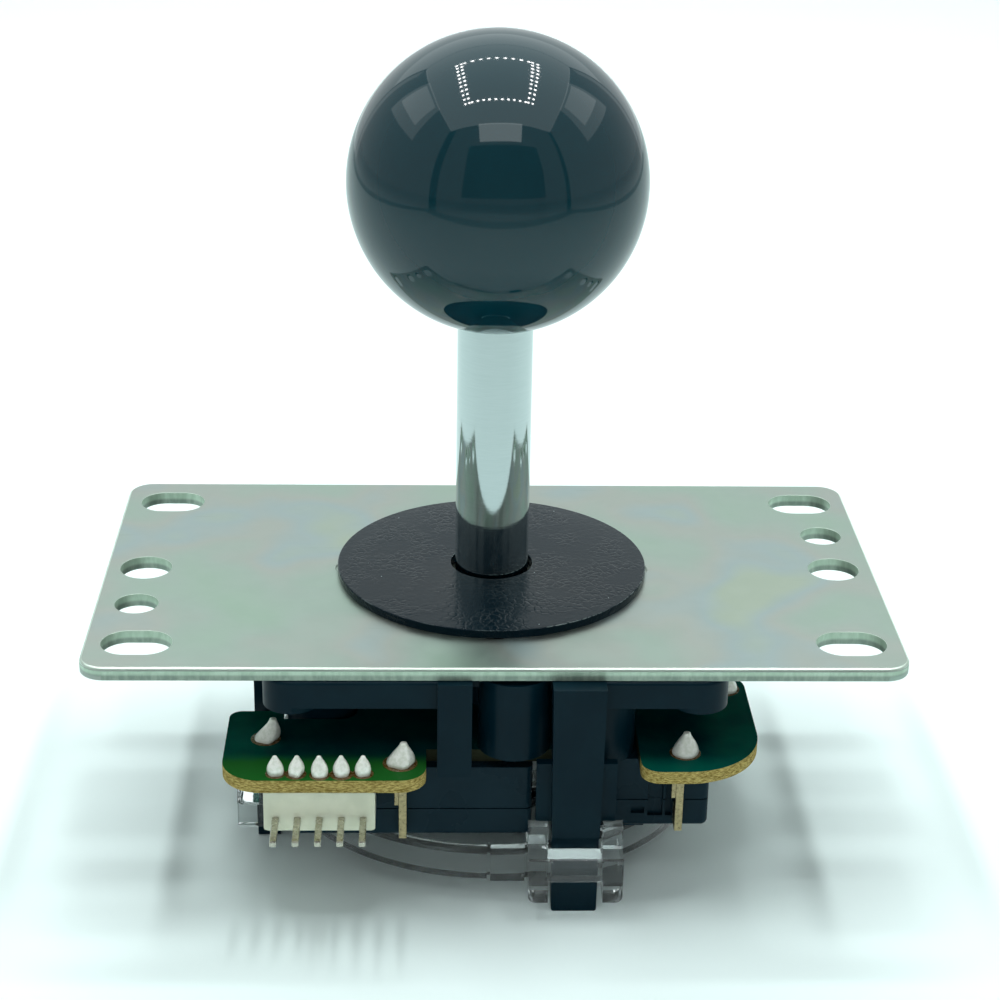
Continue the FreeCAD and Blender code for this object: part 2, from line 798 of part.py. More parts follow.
def restrictor_loop():
    """The loop that snaps over one leg: two posts and the bar across them."""
    left = leg_left - assembly_clearance
    right = leg_right + assembly_clearance
    pieces = []
    for inner, outer in ((left, left - loop_post_width), (right, right + loop_post_width)):
        x_low = min(inner, outer)
        x_high = max(inner, outer)
        for front, back, top_z in ((loop_shoulder, loop_back, loop_post_top_z),
                                   (loop_front, loop_shoulder, loop_front_top_z)):
            foot = box(x_low, x_high, -front, -back, loop_bottom_z, top_z)
            pieces.append(rounded(foot, loop_foot_round, lambda edge: loop_foot_edge(edge, outer)))
        pieces.append(box(x_low, x_high, -loop_back, -restrictor_radius + restrictor_wall
                          + loop_arm_reach, restrictor_bottom_z,
                          restrictor_plate_bottom_z + loop_arm_overlap))
        pieces.append(box(x_low, x_high, -loop_back, -loop_back + loop_back_wall,
                          restrictor_bottom_z, restrictor_top_z))
    bar = box(left - loop_post_width, right + loop_post_width, -loop_front, -loop_bar_back,
              loop_bar_bottom_z, loop_bar_top_z)
    pieces.append(rounded(bar, loop_bar_round, loop_bar_edge))
    return pieces


def loop_foot_edge(edge, outer):
    """The post's lower edge on its outer side."""
    bounds = edge.BoundBox
    at_side = abs(bounds.XMin - outer) < 1e-4 and abs(bounds.XMax - outer) < 1e-4
    return at_side and flat_edge_at(edge, loop_bottom_z)


def loop_bar_edge(edge):
    """The two front edges that run along the bar."""
    bounds = edge.BoundBox
    at_front = abs(bounds.YMin + loop_front) < 1e-4 and abs(bounds.YMax + loop_front) < 1e-4
    return at_front and bounds.XLength > loop_bar_thickness


def leg_room():
    """The slot in the restrictor that one leg and its flanks drop through."""
    left = leg_left - assembly_clearance
    right = leg_right + assembly_clearance
    return box(left, right, -loop_bar_back, -leg_back + assembly_clearance,
               loop_bottom_z - cut_margin, loop_post_top_z)


def restrictor_frame():
    plate = cylinder(0, 0, restrictor_radius, restrictor_plate_bottom_z, restrictor_top_z)
    skirt = cylinder(0, 0, restrictor_radius, restrictor_bottom_z, restrictor_top_z)
    skirt = skirt.cut(cylinder(0, 0, restrictor_radius - restrictor_wall,
                               restrictor_bottom_z - cut_margin, restrictor_top_z + cut_margin))
    pieces = [plate, skirt]
    block = box(restrictor_block_left, restrictor_block_right, -restrictor_block_front,
                -restrictor_radius + restrictor_wall, restrictor_bottom_z, restrictor_top_z)
    step = box(restrictor_block_left - restrictor_step_width, restrictor_block_left,
               -restrictor_block_front + restrictor_step_back, -restrictor_radius + restrictor_wall,
               restrictor_bottom_z + restrictor_step_rise, restrictor_top_z)
    for quarter in range(4):
        pieces += [turned(piece, quarter) for piece in [block, step] + restrictor_loop()]
    frame = fused(pieces)
    cuts = [cylinder(0, 0, restrictor_window_radius, restrictor_bottom_z - cut_margin,
                     restrictor_top_z + cut_margin)]
    groove = box(restrictor_block_left - restrictor_groove_width, restrictor_block_left,
                 -restrictor_block_front - cut_margin, -restrictor_block_front + restrictor_groove_depth,
                 restrictor_bottom_z - cut_margin, restrictor_top_z + cut_margin)
    cuts += [turned(piece, quarter) for quarter in range(4) for piece in (leg_room(), groove)]
    frame = frame.cut(cuts)
    hooks = [turned(gate_hook(), quarter + 0.5) for quarter in range(4)]
    return fused([frame] + hooks)


def gate_hook():
    """One of the four hooks that hold the gate against the frame."""
    inner = gate_flange_radius + assembly_clearance
    outer = inner + gate_hook_wall
    half = gate_hook_width / 2
    lip_top_z = restrictor_plate_bottom_z - gate_flange_thickness - running_clearance
    lip_bottom_z = lip_top_z - gate_hook_lip_height
    stem = box(-half, half, -outer, -inner, lip_bottom_z,
               restrictor_plate_bottom_z + loop_arm_overlap)
    lip = box(-half, half, -outer, -inner + gate_hook_lip, lip_bottom_z, lip_top_z)
    return fused([stem, lip])


def restrictor_gate():
    flange = cylinder(0, 0, gate_flange_radius, restrictor_plate_bottom_z - gate_flange_thickness,
                      restrictor_plate_bottom_z)
    lower = cylinder(0, 0, gate_flange_radius - gate_hook_lip - gate_hook_room, gate_bottom_z,
                     restrictor_plate_bottom_z)
    upper = cylinder(0, 0, restrictor_window_radius - assembly_clearance, restrictor_plate_bottom_z,
                     gate_top_z)
    opening = prism(rectangle(-gate_opening_half, gate_opening_half, -gate_opening_half,
                              gate_opening_half, gate_corner_radius), gate_bottom_z - cut_margin,
                    gate_top_z + cut_margin)
    return fused([upper, flange, lower]).cut(opening)


def lever_shaft():
    stud_top_z = shaft_top_z + stud_length
    clip_bottom_z = clip_top_z - clip_thickness
    points = [(0, stem_bottom_z), (stem_radius - shaft_chamfer, stem_bottom_z),
              (stem_radius, stem_bottom_z + shaft_chamfer),
              (stem_radius, clip_bottom_z - running_clearance),
              (groove_radius, clip_bottom_z - running_clearance),
              (groove_radius, clip_top_z + running_clearance / 2),
              (stem_radius, clip_top_z + running_clearance / 2),
              (stem_radius, pivot_top_z), (shaft_radius, pivot_top_z),
              (shaft_radius, shaft_top_z), (stem_radius, shaft_top_z),
              (stem_radius, stud_top_z - shaft_chamfer), (stem_radius - shaft_chamfer, stud_top_z),
              (0, stud_top_z)]
    half = screwdriver_slot_width / 2
    slot = box(-stem_radius, stem_radius, -half, half, stem_bottom_z - cut_margin,
               stem_bottom_z + screwdriver_slot_depth)
    return turned_profile(points).cut(slot)


def ball_top():
    ball = sphere(ball_radius, ball_centre_z)
    mouth_z = ball_centre_z - math.sqrt(ball_radius ** 2 - ball_mouth_radius ** 2)
    below = cylinder(0, 0, ball_radius, ball_centre_z - ball_radius - cut_margin, mouth_z)
    insert_room = cylinder(0, 0, ball_insert_radius + seat_clearance, mouth_z - cut_margin,
                           shaft_top_z + ball_insert_length + seat_clearance)
    shaft_room = cylinder(0, 0, shaft_radius + running_clearance, mouth_z - cut_margin,
                          shaft_top_z)
    return ball.cut([below, insert_room, shaft_room])


def ball_insert():
    waist = ball_insert_radius - ball_insert_groove
    low = shaft_top_z
    high = shaft_top_z + ball_insert_length
    third = ball_insert_length / 3
    bore = stem_radius + seat_clearance
    bore_top = low + stud_length + ball_insert_blind_run
    points = [(bore, low), (ball_insert_radius, low), (ball_insert_radius, low + third),
              (waist, low + third), (waist, high - third), (ball_insert_radius, high - third),
              (ball_insert_radius, high), (0, high), (0, bore_top), (bore, bore_top)]
    return turned_profile(points)


def pivot_ball():
    ball = sphere(pivot_radius, pivot_centre_z)
    depth = math.sqrt(pivot_radius ** 2 - pivot_mouth_radius ** 2)
    keep = cylinder(0, 0, pivot_radius, pivot_centre_z - depth, pivot_top_z)
    bore = cylinder(0, 0, stem_bore_radius, pivot_centre_z - pivot_radius, pivot_top_z + cut_margin)
    return ball.common(keep).cut(bore)


def spring_seat():
    blank = cylinder(0, 0, seat_radius, seat_bottom_z, pivot_centre_z)
    hollow = sphere(cup_outer_radius + running_clearance, pivot_centre_z)
    spigot = cylinder(0, 0, seat_spigot_radius, seat_bottom_z - seat_spigot_length, seat_bottom_z)
    bore = cylinder(0, 0, stem_bore_radius, seat_bottom_z - seat_spigot_length - cut_margin,
                    pivot_centre_z)
    return fused([blank.cut(hollow), spigot]).cut(bore)


def return_spring():
    low = actuator_floor_z + spring_wire_radius
    high = seat_bottom_z - spring_wire_radius
    helix = Part.makeHelix(spring_pitch, high - low, spring_mean_radius)
    helix.translate(Vector(0, 0, low))
    section = Part.Wire(Part.makeCircle(spring_wire_radius, Vector(spring_mean_radius, 0, low),
                                        Vector(0, 1, 0)))
    return Part.Wire(helix).makePipeShell([section], True, True)


def actuator():
    """A cup for the spring, a skirt that presses the plungers and a hub for the gate."""
    core_top_z = actuator_rim_z - actuator_core_rise
    points = [(stem_bore_radius, core_top_z),
              (actuator_core_radius - actuator_core_chamfer, core_top_z),
              (actuator_core_radius, core_top_z - actuator_core_chamfer),
              (actuator_core_radius, actuator_floor_z), (actuator_pocket_radius, actuator_floor_z),
              (actuator_pocket_radius, actuator_rim_z), (actuator_radius, actuator_rim_z),
              (actuator_radius, actuator_skirt_z), (actuator_hub_radius, actuator_cone_z),
              (actuator_hub_radius, hub_bottom_z + actuator_hub_chamfer),
              (actuator_hub_radius - actuator_hub_chamfer, hub_bottom_z),
              (stem_bore_radius, hub_bottom_z)]
    return turned_profile(points)


def e_clip():
    ring = cylinder(0, 0, clip_radius, clip_top_z - clip_thickness, clip_top_z)
    hole_radius = groove_radius + seat_clearance
    through = (clip_top_z - clip_thickness - cut_margin, clip_top_z + cut_margin)
    half_gap = clip_gap_width / 2
    half_relief = clip_relief_width / 2
    cuts = [cylinder(0, 0, hole_radius, *through),
            box(-half_gap, half_gap, -clip_radius - cut_margin, 0, *through)]
    relief = cylinder(0, 0, groove_radius + clip_relief, *through)
    for angle in clip_relief_angles:
        wedge = box(0, clip_radius, -half_relief, half_relief, *through)
        wedge.rotate(Vector(0, 0, 0), Vector(0, 0, 1), angle)
        cuts.append(relief.common(wedge))
    return ring.cut(cuts)


def save(name, shape):
    shape.exportStep(os.path.join("parts", name + ".step"))
    print(name, "solids", len(shape.Solids), "valid", shape.isValid(), "volume", round(shape.Volume, 2))


os.makedirs("parts", exist_ok=True)

single_pieces = {
    "mounting_plate": mounting_plate,
    "plate_screws": plate_screws,
    "dust_washer": dust_washer,
    "body_housing": body_housing,
    "circuit_board": circuit_board,
    "solder_joints": solder_joints,
    "connector_housing": connector_housing,
    "connector_pins": connector_pins,
    "restrictor_frame": restrictor_frame,
    "restrictor_gate": restrictor_gate,
    "lever_shaft": lever_shaft,
    "ball_top": ball_top,
    "ball_insert": ball_insert,
    "pivot_ball": pivot_ball,
    "spring_seat": spring_seat,
    "return_spring": return_spring,
    "actuator": actuator,
    "e_clip": e_clip,
}
switch_pieces = {
    "switch_case": switch_case,
    "switch_cover": switch_cover,
    "switch_plunger": switch_plunger,
    "switch_terminals": switch_terminals,
}

for name, make in single_pieces.items():
    save(name, make())
for name, make in switch_pieces.items():
    piece = make()
    for quarter, side in enumerate(sides):
        save(name + "_" + side, turned(piece, quarter))
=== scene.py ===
import math
import random

import bmesh
import bpy
from mathutils import Matrix, Vector

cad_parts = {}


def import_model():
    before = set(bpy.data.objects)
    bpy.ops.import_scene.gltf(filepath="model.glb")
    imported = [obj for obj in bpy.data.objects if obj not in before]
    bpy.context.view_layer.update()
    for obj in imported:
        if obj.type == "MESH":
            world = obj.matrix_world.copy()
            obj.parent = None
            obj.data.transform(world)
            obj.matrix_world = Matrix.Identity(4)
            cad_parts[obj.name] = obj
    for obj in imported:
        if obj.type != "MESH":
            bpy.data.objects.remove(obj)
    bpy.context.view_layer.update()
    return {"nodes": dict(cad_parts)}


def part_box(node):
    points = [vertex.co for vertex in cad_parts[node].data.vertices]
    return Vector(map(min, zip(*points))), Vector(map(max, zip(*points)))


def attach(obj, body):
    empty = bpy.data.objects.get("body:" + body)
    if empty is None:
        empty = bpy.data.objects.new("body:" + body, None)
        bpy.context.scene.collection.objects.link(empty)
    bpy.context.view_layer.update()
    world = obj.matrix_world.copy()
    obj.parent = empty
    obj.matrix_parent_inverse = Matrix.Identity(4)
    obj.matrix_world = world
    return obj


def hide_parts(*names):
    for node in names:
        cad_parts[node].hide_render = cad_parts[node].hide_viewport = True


# Arcade joystick lever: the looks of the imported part.
# Sizes are written in millimetres and turned into Blender's metres by MM.
# The front is the side at -Y, where the harness connector is.

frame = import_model()
nodes = frame["nodes"]
MM = 0.001
SIDES = ("front", "right", "back", "left")


def low(node):
    """A CAD node's lowest corner in millimetres."""
    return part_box(node)[0] / MM


def high(node):
    """A CAD node's highest corner in millimetres."""
    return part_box(node)[1] / MM


# Short calls for shader nodes


class Wiring:
    """Adds nodes to one tree, sets their inputs and joins them."""

    def __init__(self, tree):
        self.tree = tree

    def add(self, kind, inputs=None, **settings):
        made = self.tree.nodes.new(kind)
        for name, value in settings.items():
            setattr(made, name, value)
        for name, value in (inputs or {}).items():
            self.set(made.inputs[name], value)
        return made

    def set(self, socket, value):
        if isinstance(value, bpy.types.NodeSocket):
            self.tree.links.new(value, socket)
        else:
            socket.default_value = value

    def maths(self, operation, *values):
        made = self.add("ShaderNodeMath", operation=operation)
        for index, value in enumerate(values):
            self.set(made.inputs[index], value)
        return made.outputs[0]

    def between(self, value, start, end, out_start=0.0, out_end=1.0):
        """Runs smoothly from out_start to out_end while value runs from start to end."""
        made = self.add("ShaderNodeMapRange", interpolation_type="SMOOTHSTEP")
        for index, number in enumerate((value, start, end, out_start, out_end)):
            self.set(made.inputs[index], number)
        return made.outputs[0]

    def blend(self, share, first, second):
        """The first colour where share is 0, and the second where it is 1."""
        made = self.add("ShaderNodeMix", data_type="RGBA")
        self.set(made.inputs[0], share)
        self.set(made.inputs[6], first)
        self.set(made.inputs[7], second)
        return made.outputs[2]

    def noise(self, vector, scale, detail=3.0, roughness=0.5):
        """Cloudy noise; the scale is in waves for each millimetre where the vector is place()."""
        made = self.add("ShaderNodeTexNoise")
        self.set(made.inputs["Vector"], vector)
        self.set(made.inputs["Scale"], scale)
        made.inputs["Detail"].default_value = detail
        made.inputs["Roughness"].default_value = roughness
        return made.outputs[0]

    def place(self):
        """The point on the piece, in millimetres."""
        spot = self.add("ShaderNodeTexCoord").outputs["Object"]
        scaled = self.add("ShaderNodeVectorMath", operation="SCALE")
        self.set(scaled.inputs[0], spot)
        scaled.inputs["Scale"].default_value = 1 / MM
        return scaled.outputs[0]

    def facing_up(self):
        """How far the surface faces up, from -1 to 1."""
        normal = self.add("ShaderNodeTexCoord").outputs["Normal"]
        parts = self.add("ShaderNodeSeparateXYZ", {"Vector": normal})
        return parts.outputs[2]

    def bump(self, height, distance):
        """A normal bent by a height map that stands distance millimetres high."""
        made = self.add("ShaderNodeBump")
        made.inputs["Strength"].default_value = 1.0
        made.inputs["Distance"].default_value = distance * MM
        self.set(made.inputs["Height"], height)
        return made.outputs[0]


def effect(name, inputs, outputs, build):
    """A shader node group with named inputs and outputs, built once by build(wiring, source)."""
    group = bpy.data.node_groups.new(name, "ShaderNodeTree")
    for label, value in inputs.items():
        kind = "NodeSocketColor" if hasattr(value, "__len__") else "NodeSocketFloat"
        socket = group.interface.new_socket(label, in_out="INPUT", socket_type=kind)
        socket.default_value = value
    for label, kind in outputs.items():
        group.interface.new_socket(label, in_out="OUTPUT", socket_type=kind)
    wiring = Wiring(group)
    source = wiring.add("NodeGroupInput").outputs
    results = build(wiring, source)
    sink = wiring.add("NodeGroupOutput")
    for label, socket in results.items():
        wiring.set(sink.inputs[label], socket)
    return group


def build_specks(wiring, source):
    """Small spots of dust or pits: Size across, in millimetres, on a Share of the cells."""
    scale = wiring.maths("DIVIDE", 1.0, source["Spacing"])
    cells = wiring.add("ShaderNodeTexVoronoi", {"Vector": wiring.place()})
    wiring.set(cells.inputs["Scale"], scale)
    reach = wiring.maths("DIVIDE", source["Size"], source["Spacing"])
    spot = wiring.maths("LESS_THAN", cells.outputs["Distance"], reach)
    chosen = wiring.add("ShaderNodeSeparateColor", {"Color": cells.outputs["Color"]})
    kept = wiring.maths("LESS_THAN", chosen.outputs[0], source["Share"])
    return {"Mask": wiring.maths("MULTIPLY", spot, kept)}


def build_mottle(wiring, source):
    """Soft patches, Size across in millimetres, spread about one half."""
    scale = wiring.maths("DIVIDE", 1.0, source["Size"])
    cloud = wiring.noise(wiring.place(), scale, detail=4.0)
    return {"Mask": wiring.between(cloud, 0.3, 0.7)}


def build_moulded_skin(wiring, source):
    """The fine spark-eroded grain and slow sink marks of a moulded face."""
    spot = wiring.place()
    fine = wiring.noise(spot, wiring.maths("DIVIDE", 1.0, source["Grain"]), detail=2.0)
    slow = wiring.noise(spot, 0.16, detail=1.0)
    height = wiring.maths("ADD", wiring.maths("MULTIPLY", fine, source["Depth"]), slow)
    return {"Height": height}


def build_scratches(wiring, source):
    """Hair lines that run two ways across a plated or polished face."""
    spot = wiring.place()
    masks = []
    for angle, length in ((0.35, 0.03), (-0.9, 0.045)):
        turned = wiring.add("ShaderNodeMapping", {"Vector": spot})
        turned.inputs["Rotation"].default_value = (0.0, 0.0, angle)
        turned.inputs["Scale"].default_value = (length, 2.6, 2.6)
        lines = wiring.noise(turned.outputs[0], 1.0, detail=2.0)
        masks.append(wiring.between(lines, 0.70, 0.74))
    both = wiring.maths("MAXIMUM", masks[0], masks[1])
    patch = wiring.between(wiring.noise(spot, 0.09), 0.5, 0.62)
    return {"Mask": wiring.maths("MULTIPLY", both, wiring.maths("MULTIPLY", patch, source["Amount"]))}


def build_plating_tint(wiring, source):
    """The faint pink, blue and yellow drift of a passivated zinc skin."""
    spot = wiring.place()
    drift = wiring.noise(spot, 0.045, detail=2.0)
    ramp = wiring.add("ShaderNodeValToRGB", {"Fac": drift})
    stops = ((0.34, (0.33, 0.46, 0.36, 1)), (0.45, (0.36, 0.44, 0.39, 1)), (0.53, (0.42, 0.41, 0.39, 1)),
             (0.60, (0.35, 0.42, 0.46, 1)), (0.68, (0.41, 0.46, 0.36, 1)))
    elements = ramp.color_ramp.elements
    while len(elements) < len(stops):
        elements.new(0.5)
    for element, (position, colour) in zip(elements, stops):
        element.position = position
        element.color = colour
    tint = wiring.blend(source["Amount"], source["Colour"], ramp.outputs[0])
    return {"Colour": tint}


specks = effect("Specks", {"Spacing": 3.0, "Size": 0.1, "Share": 0.3},
                {"Mask": "NodeSocketFloat"}, build_specks)
mottle = effect("Mottle", {"Size": 8.0}, {"Mask": "NodeSocketFloat"}, build_mottle)
moulded_skin = effect("Moulded skin", {"Grain": 0.12, "Depth": 0.5},
                      {"Height": "NodeSocketFloat"}, build_moulded_skin)
scratches = effect("Hair scratches", {"Amount": 1.0}, {"Mask": "NodeSocketFloat"}, build_scratches)
plating_tint = effect("Plating tint", {"Colour": (0.7, 0.75, 0.72, 1), "Amount": 0.4},
                      {"Colour": "NodeSocketColor"}, build_plating_tint)


class Finish(Wiring):
    """A material with its Principled shader, as a maker would name the finish."""

    def __init__(self, name, **sockets):
        self.material = bpy.data.materials.new(name)
        self.material.use_nodes = True
        super().__init__(self.material.node_tree)
        self.shader = self.tree.nodes["Principled BSDF"]
        for socket, value in sockets.items():
            self.shader.inputs[socket.replace("_", " ")].default_value = value

    def group(self, group, output, **values):
        """One output of an effect, with its inputs set by name."""
        made = self.add("ShaderNodeGroup", node_tree=group)
        for label, value in values.items():
            self.set(made.inputs[label], value)
        return made.outputs[output]

    def colour(self, value):
        self.set(self.shader.inputs["Base Color"], value)

    def roughness(self, value):
        self.set(self.shader.inputs["Roughness"], value)

    def normal(self, value):
        self.set(self.shader.inputs["Normal"], value)


def polished_black_ball():
    finish = Finish("polished black ball", IOR=1.52)
    cloud = finish.group(mottle, "Mask", Size=14.0)
    dust = finish.group(specks, "Mask", Spacing=2.4, Size=0.035, Share=0.25)
    black = finish.blend(cloud, (0.0010, 0.026, 0.037, 1), (0.0016, 0.030, 0.041, 1))
    finish.colour(finish.blend(dust, black, (0.20, 0.24, 0.25, 1)))
    finish.roughness(finish.between(cloud, 0.0, 1.0, 0.025, 0.06))
    wave = finish.noise(finish.place(), 0.22, detail=1.0)
    finish.normal(finish.bump(wave, 0.02))
    return finish.material


def chromed_steel():
    finish = Finish("chromed steel", Metallic=1.0)
    spot = finish.add("ShaderNodeMapping", {"Vector": finish.place()})
    spot.inputs["Scale"].default_value = (0.4, 0.4, 9.0)
    rings = finish.noise(spot.outputs[0], 1.0, detail=2.0)
    finish.colour(finish.blend(rings, (0.52, 0.60, 0.60, 1), (0.62, 0.69, 0.69, 1)))
    finish.roughness(finish.between(rings, 0.3, 0.7, 0.035, 0.08))
    finish.normal(finish.bump(rings, 0.0015))
    return finish.material


def leather_grained_black():
    """The washer's skin: shallow hide-like cells with slow wrinkles between them."""
    finish = Finish("leather grained black", IOR=1.5, Specular_IOR_Level=0.155)
    spot = finish.place()
    bend = finish.add("ShaderNodeTexNoise", {"Vector": spot})
    bend.inputs["Scale"].default_value = 0.9
    shift = finish.add("ShaderNodeVectorMath", operation="SCALE")
    finish.set(shift.inputs[0], bend.outputs["Color"])
    shift.inputs["Scale"].default_value = 1.1
    moved = finish.add("ShaderNodeVectorMath", operation="ADD")
    finish.set(moved.inputs[0], spot)
    finish.set(moved.inputs[1], shift.outputs[0])
    cells = finish.add("ShaderNodeTexVoronoi", {"Vector": moved.outputs[0]}, feature="DISTANCE_TO_EDGE")
    cells.inputs["Scale"].default_value = 1.0
    pillow = finish.between(cells.outputs["Distance"], 0.0, 0.16)
    fine = finish.noise(spot, 2.6, detail=4.0)
    patch = finish.between(finish.noise(spot, 0.22, detail=2.0), 0.42, 0.60, 0.15, 0.8)
    hide = finish.maths("MULTIPLY", pillow, patch)
    height = finish.maths("ADD", hide, finish.maths("MULTIPLY", fine, 0.6))
    dust = finish.group(specks, "Mask", Spacing=1.7, Size=0.075, Share=0.16)
    black = finish.blend(fine, (0.0001, 0.0065, 0.0120, 1), (0.0004, 0.0092, 0.0155, 1))
    up = finish.maths("ABSOLUTE", finish.facing_up())
    # Painted highlight: patches of the rounded rims are painted pale, standing in for the glints along them.
    rim = finish.maths("MULTIPLY", finish.between(up, 0.35, 0.6), finish.between(up, 0.93, 0.985, 1.0, 0.0))
    rim_highlight_patches = finish.between(finish.noise(spot, 0.16, detail=2.0), 0.46, 0.62)
    painted_rim_highlight = finish.maths("MULTIPLY", rim, finish.maths("MULTIPLY", rim_highlight_patches, finish.between(fine, 0.36, 0.60)))
    black = finish.blend(painted_rim_highlight, black, (0.12, 0.15, 0.15, 1))
    finish.colour(finish.blend(dust, black, (0.35, 0.42, 0.42, 1)))
    finish.roughness(finish.between(fine, 0.3, 0.7, 0.13, 0.22))
    finish.normal(finish.bump(height, 0.045))
    return finish.material


def zinc_plated_steel():
    """Satin zinc; its sheared edge is duller and painted darker low down, and the rounding above it has a painted
    highlight.
    """
    finish = Finish("zinc plated steel", Metallic=1.0)
    tint = finish.group(plating_tint, "Colour", Colour=(0.34, 0.43, 0.37, 1), Amount=0.55)
    pits = finish.group(specks, "Mask", Spacing=7.5, Size=0.16, Share=0.16)
    lines = finish.group(scratches, "Mask", Amount=0.5)
    soft = finish.group(mottle, "Mask", Size=5.0)
    marked = finish.blend(lines, tint, (0.24, 0.30, 0.26, 1))
    sheared_map = finish.add("ShaderNodeMapping", {"Vector": finish.place()})
    sheared_map.inputs["Scale"].default_value = (1.6, 1.6, 0.5)
    sheared = finish.between(finish.noise(sheared_map.outputs[0], 1.0, detail=4.0), 0.35, 0.7)
    parts = finish.add("ShaderNodeSeparateXYZ", {"Vector": finish.place()})
    # Painted shade: the sheared edge is painted lighter at its top than at its bottom, as the light falls on it.
    level = finish.between(parts.outputs[2], -1.1, -0.7)
    upper = finish.blend(sheared, (0.42, 0.56, 0.44, 1), (0.52, 0.66, 0.54, 1))
    lower = finish.blend(sheared, (0.22, 0.29, 0.24, 1), (0.32, 0.40, 0.33, 1))
    edge_tint_and_painted_shade = finish.blend(level, lower, upper)
    up = finish.maths("ABSOLUTE", finish.facing_up())
    edge = finish.between(up, 0.04, 0.14, 1.0, 0.0)
    finish.set(finish.shader.inputs["Metallic"], finish.between(edge, 0.0, 1.0, 1.0, 0.35))
    rounded = finish.maths("MULTIPLY", finish.between(up, 0.16, 0.34),
                           finish.between(up, 0.90, 0.97, 1.0, 0.0))
    # Painted highlight: the upper part of the rounding gets a pale colour that stands in for the ceiling's
    # reflection.
    painted_highlight = finish.maths("MULTIPLY", rounded, level)
    plated = finish.blend(edge, marked, edge_tint_and_painted_shade)
    plated = finish.blend(painted_highlight, plated, (0.76, 0.88, 0.78, 1))
    finish.colour(finish.blend(pits, plated, (0.05, 0.06, 0.055, 1)))
    finish.roughness(finish.between(soft, 0.0, 1.0, 0.34, 0.42))
    grain = finish.noise(finish.place(), 5.5, detail=3.0)
    finish.normal(finish.bump(grain, 0.004))
    return finish.material


def moulded_black(name, colours, rough, grain, depth):
    finish = Finish(name, IOR=1.5, Specular_IOR_Level=0.11)
    patches = finish.group(mottle, "Mask", Size=6.0)
    dust = finish.group(specks, "Mask", Spacing=2.2, Size=0.05, Share=0.14)
    black = finish.blend(patches, colours[0], colours[1])
    finish.colour(finish.blend(dust, black, (0.25, 0.29, 0.29, 1)))
    finish.roughness(finish.between(patches, 0.0, 1.0, rough[0], rough[1]))
    height = finish.group(moulded_skin, "Height", Grain=grain, Depth=0.5)
    finish.normal(finish.bump(height, depth))
    return finish.material


def solder_mask_green():
    """Green mask in painted shade inside, painted light outside and on a strip at the front left; sawn laminate
    edges, the inner ones in painted shade.
    """
    finish = Finish("green board", IOR=1.5, Specular_IOR_Level=0.010)
    spot = finish.place()
    patches = finish.group(mottle, "Mask", Size=4.0)
    dust = finish.group(specks, "Mask", Spacing=1.6, Size=0.055, Share=0.16)
    parts = finish.add("ShaderNodeSeparateXYZ", {"Vector": spot})
    aside = finish.maths("ABSOLUTE", parts.outputs[0])
    along = finish.maths("ABSOLUTE", parts.outputs[1])
    outer = finish.maths("MAXIMUM", aside, along)
    # Painted shade: the mask is painted darker towards the middle, under the plate, and lighter towards the
    # outside.
    dark = finish.blend(patches, (0.0002, 0.028, 0.034, 1), (0.0006, 0.042, 0.042, 1))
    bright = finish.blend(patches, (0.0004, 0.064, 0.050, 1), (0.0010, 0.084, 0.058, 1))
    green = finish.blend(finish.between(outer, 23.5, 28.0), dark, bright)
    # Painted light: a lit yellow-green strip at the front left, bounded behind by a wavy painted shadow line.
    wander = finish.maths("ADD", parts.outputs[1], finish.maths("MULTIPLY", finish.noise(spot, 0.30), 2.4))
    front = finish.between(wander, -26.2, -23.6, 1.0, 0.0)
    left = finish.between(parts.outputs[0], 0.0, 4.0, 1.0, 0.0)
    painted_lit_strip = finish.maths("MULTIPLY", front, left)
    green = finish.blend(painted_lit_strip, green, (0.012, 0.100, 0.016, 1))
    green = finish.blend(dust, green, (0.35, 0.50, 0.42, 1))
    fibre_map = finish.add("ShaderNodeMapping", {"Vector": spot})
    fibre_map.inputs["Scale"].default_value = (1.2, 1.2, 5.0)
    fibres = finish.noise(fibre_map.outputs[0], 1.6, detail=5.0, roughness=0.65)
    streaks = finish.between(fibres, 0.38, 0.64)
    laminate = finish.blend(streaks, (0.20, 0.14, 0.036, 1), (0.56, 0.45, 0.16, 1))
    # Painted shade: the sawn edges nearer the middle, deep under the deck, are painted near black.
    painted_shade_inner_edge = finish.between(outer, 25.2, 26.2, 1.0, 0.0)
    laminate = finish.blend(painted_shade_inner_edge, laminate, (0.030, 0.034, 0.020, 1))
    up = finish.facing_up()
    edge = finish.between(finish.maths("ABSOLUTE", up), 0.5, 0.7, 1.0, 0.0)
    finish.colour(finish.blend(edge, green, laminate))
    finish.roughness(finish.between(edge, 0.0, 1.0, 0.16, 0.62))
    rough_edge = finish.maths("MULTIPLY", fibres, edge)
    skin = finish.maths("MULTIPLY", finish.noise(spot, 0.5), 0.3)
    finish.normal(finish.bump(finish.maths("ADD", rough_edge, skin), 0.06))
    return finish.material


def bright_solder():
    finish = Finish("bright solder", Metallic=0.22)
    spot = finish.place()
    frost = finish.noise(spot, 2.4, detail=4.0)
    frosted = finish.between(frost, 0.38, 0.60)
    finish.colour(finish.blend(frosted, (0.86, 0.88, 0.78, 1), (1.0, 1.0, 0.93, 1)))
    finish.roughness(finish.between(frost, 0.3, 0.7, 0.10, 0.22))
    finish.normal(finish.bump(finish.noise(spot, 1.1, detail=1.0), 0.09))
    return finish.material


def flux_amber():
    finish = Finish("dried flux", IOR=1.5)
    run = finish.noise(finish.place(), 1.6, detail=3.0)
    finish.colour(finish.blend(run, (0.045, 0.022, 0.006, 1), (0.17, 0.10, 0.032, 1)))
    finish.roughness(finish.between(run, 0.3, 0.7, 0.12, 0.4))
    finish.normal(finish.bump(run, 0.05))
    return finish.material


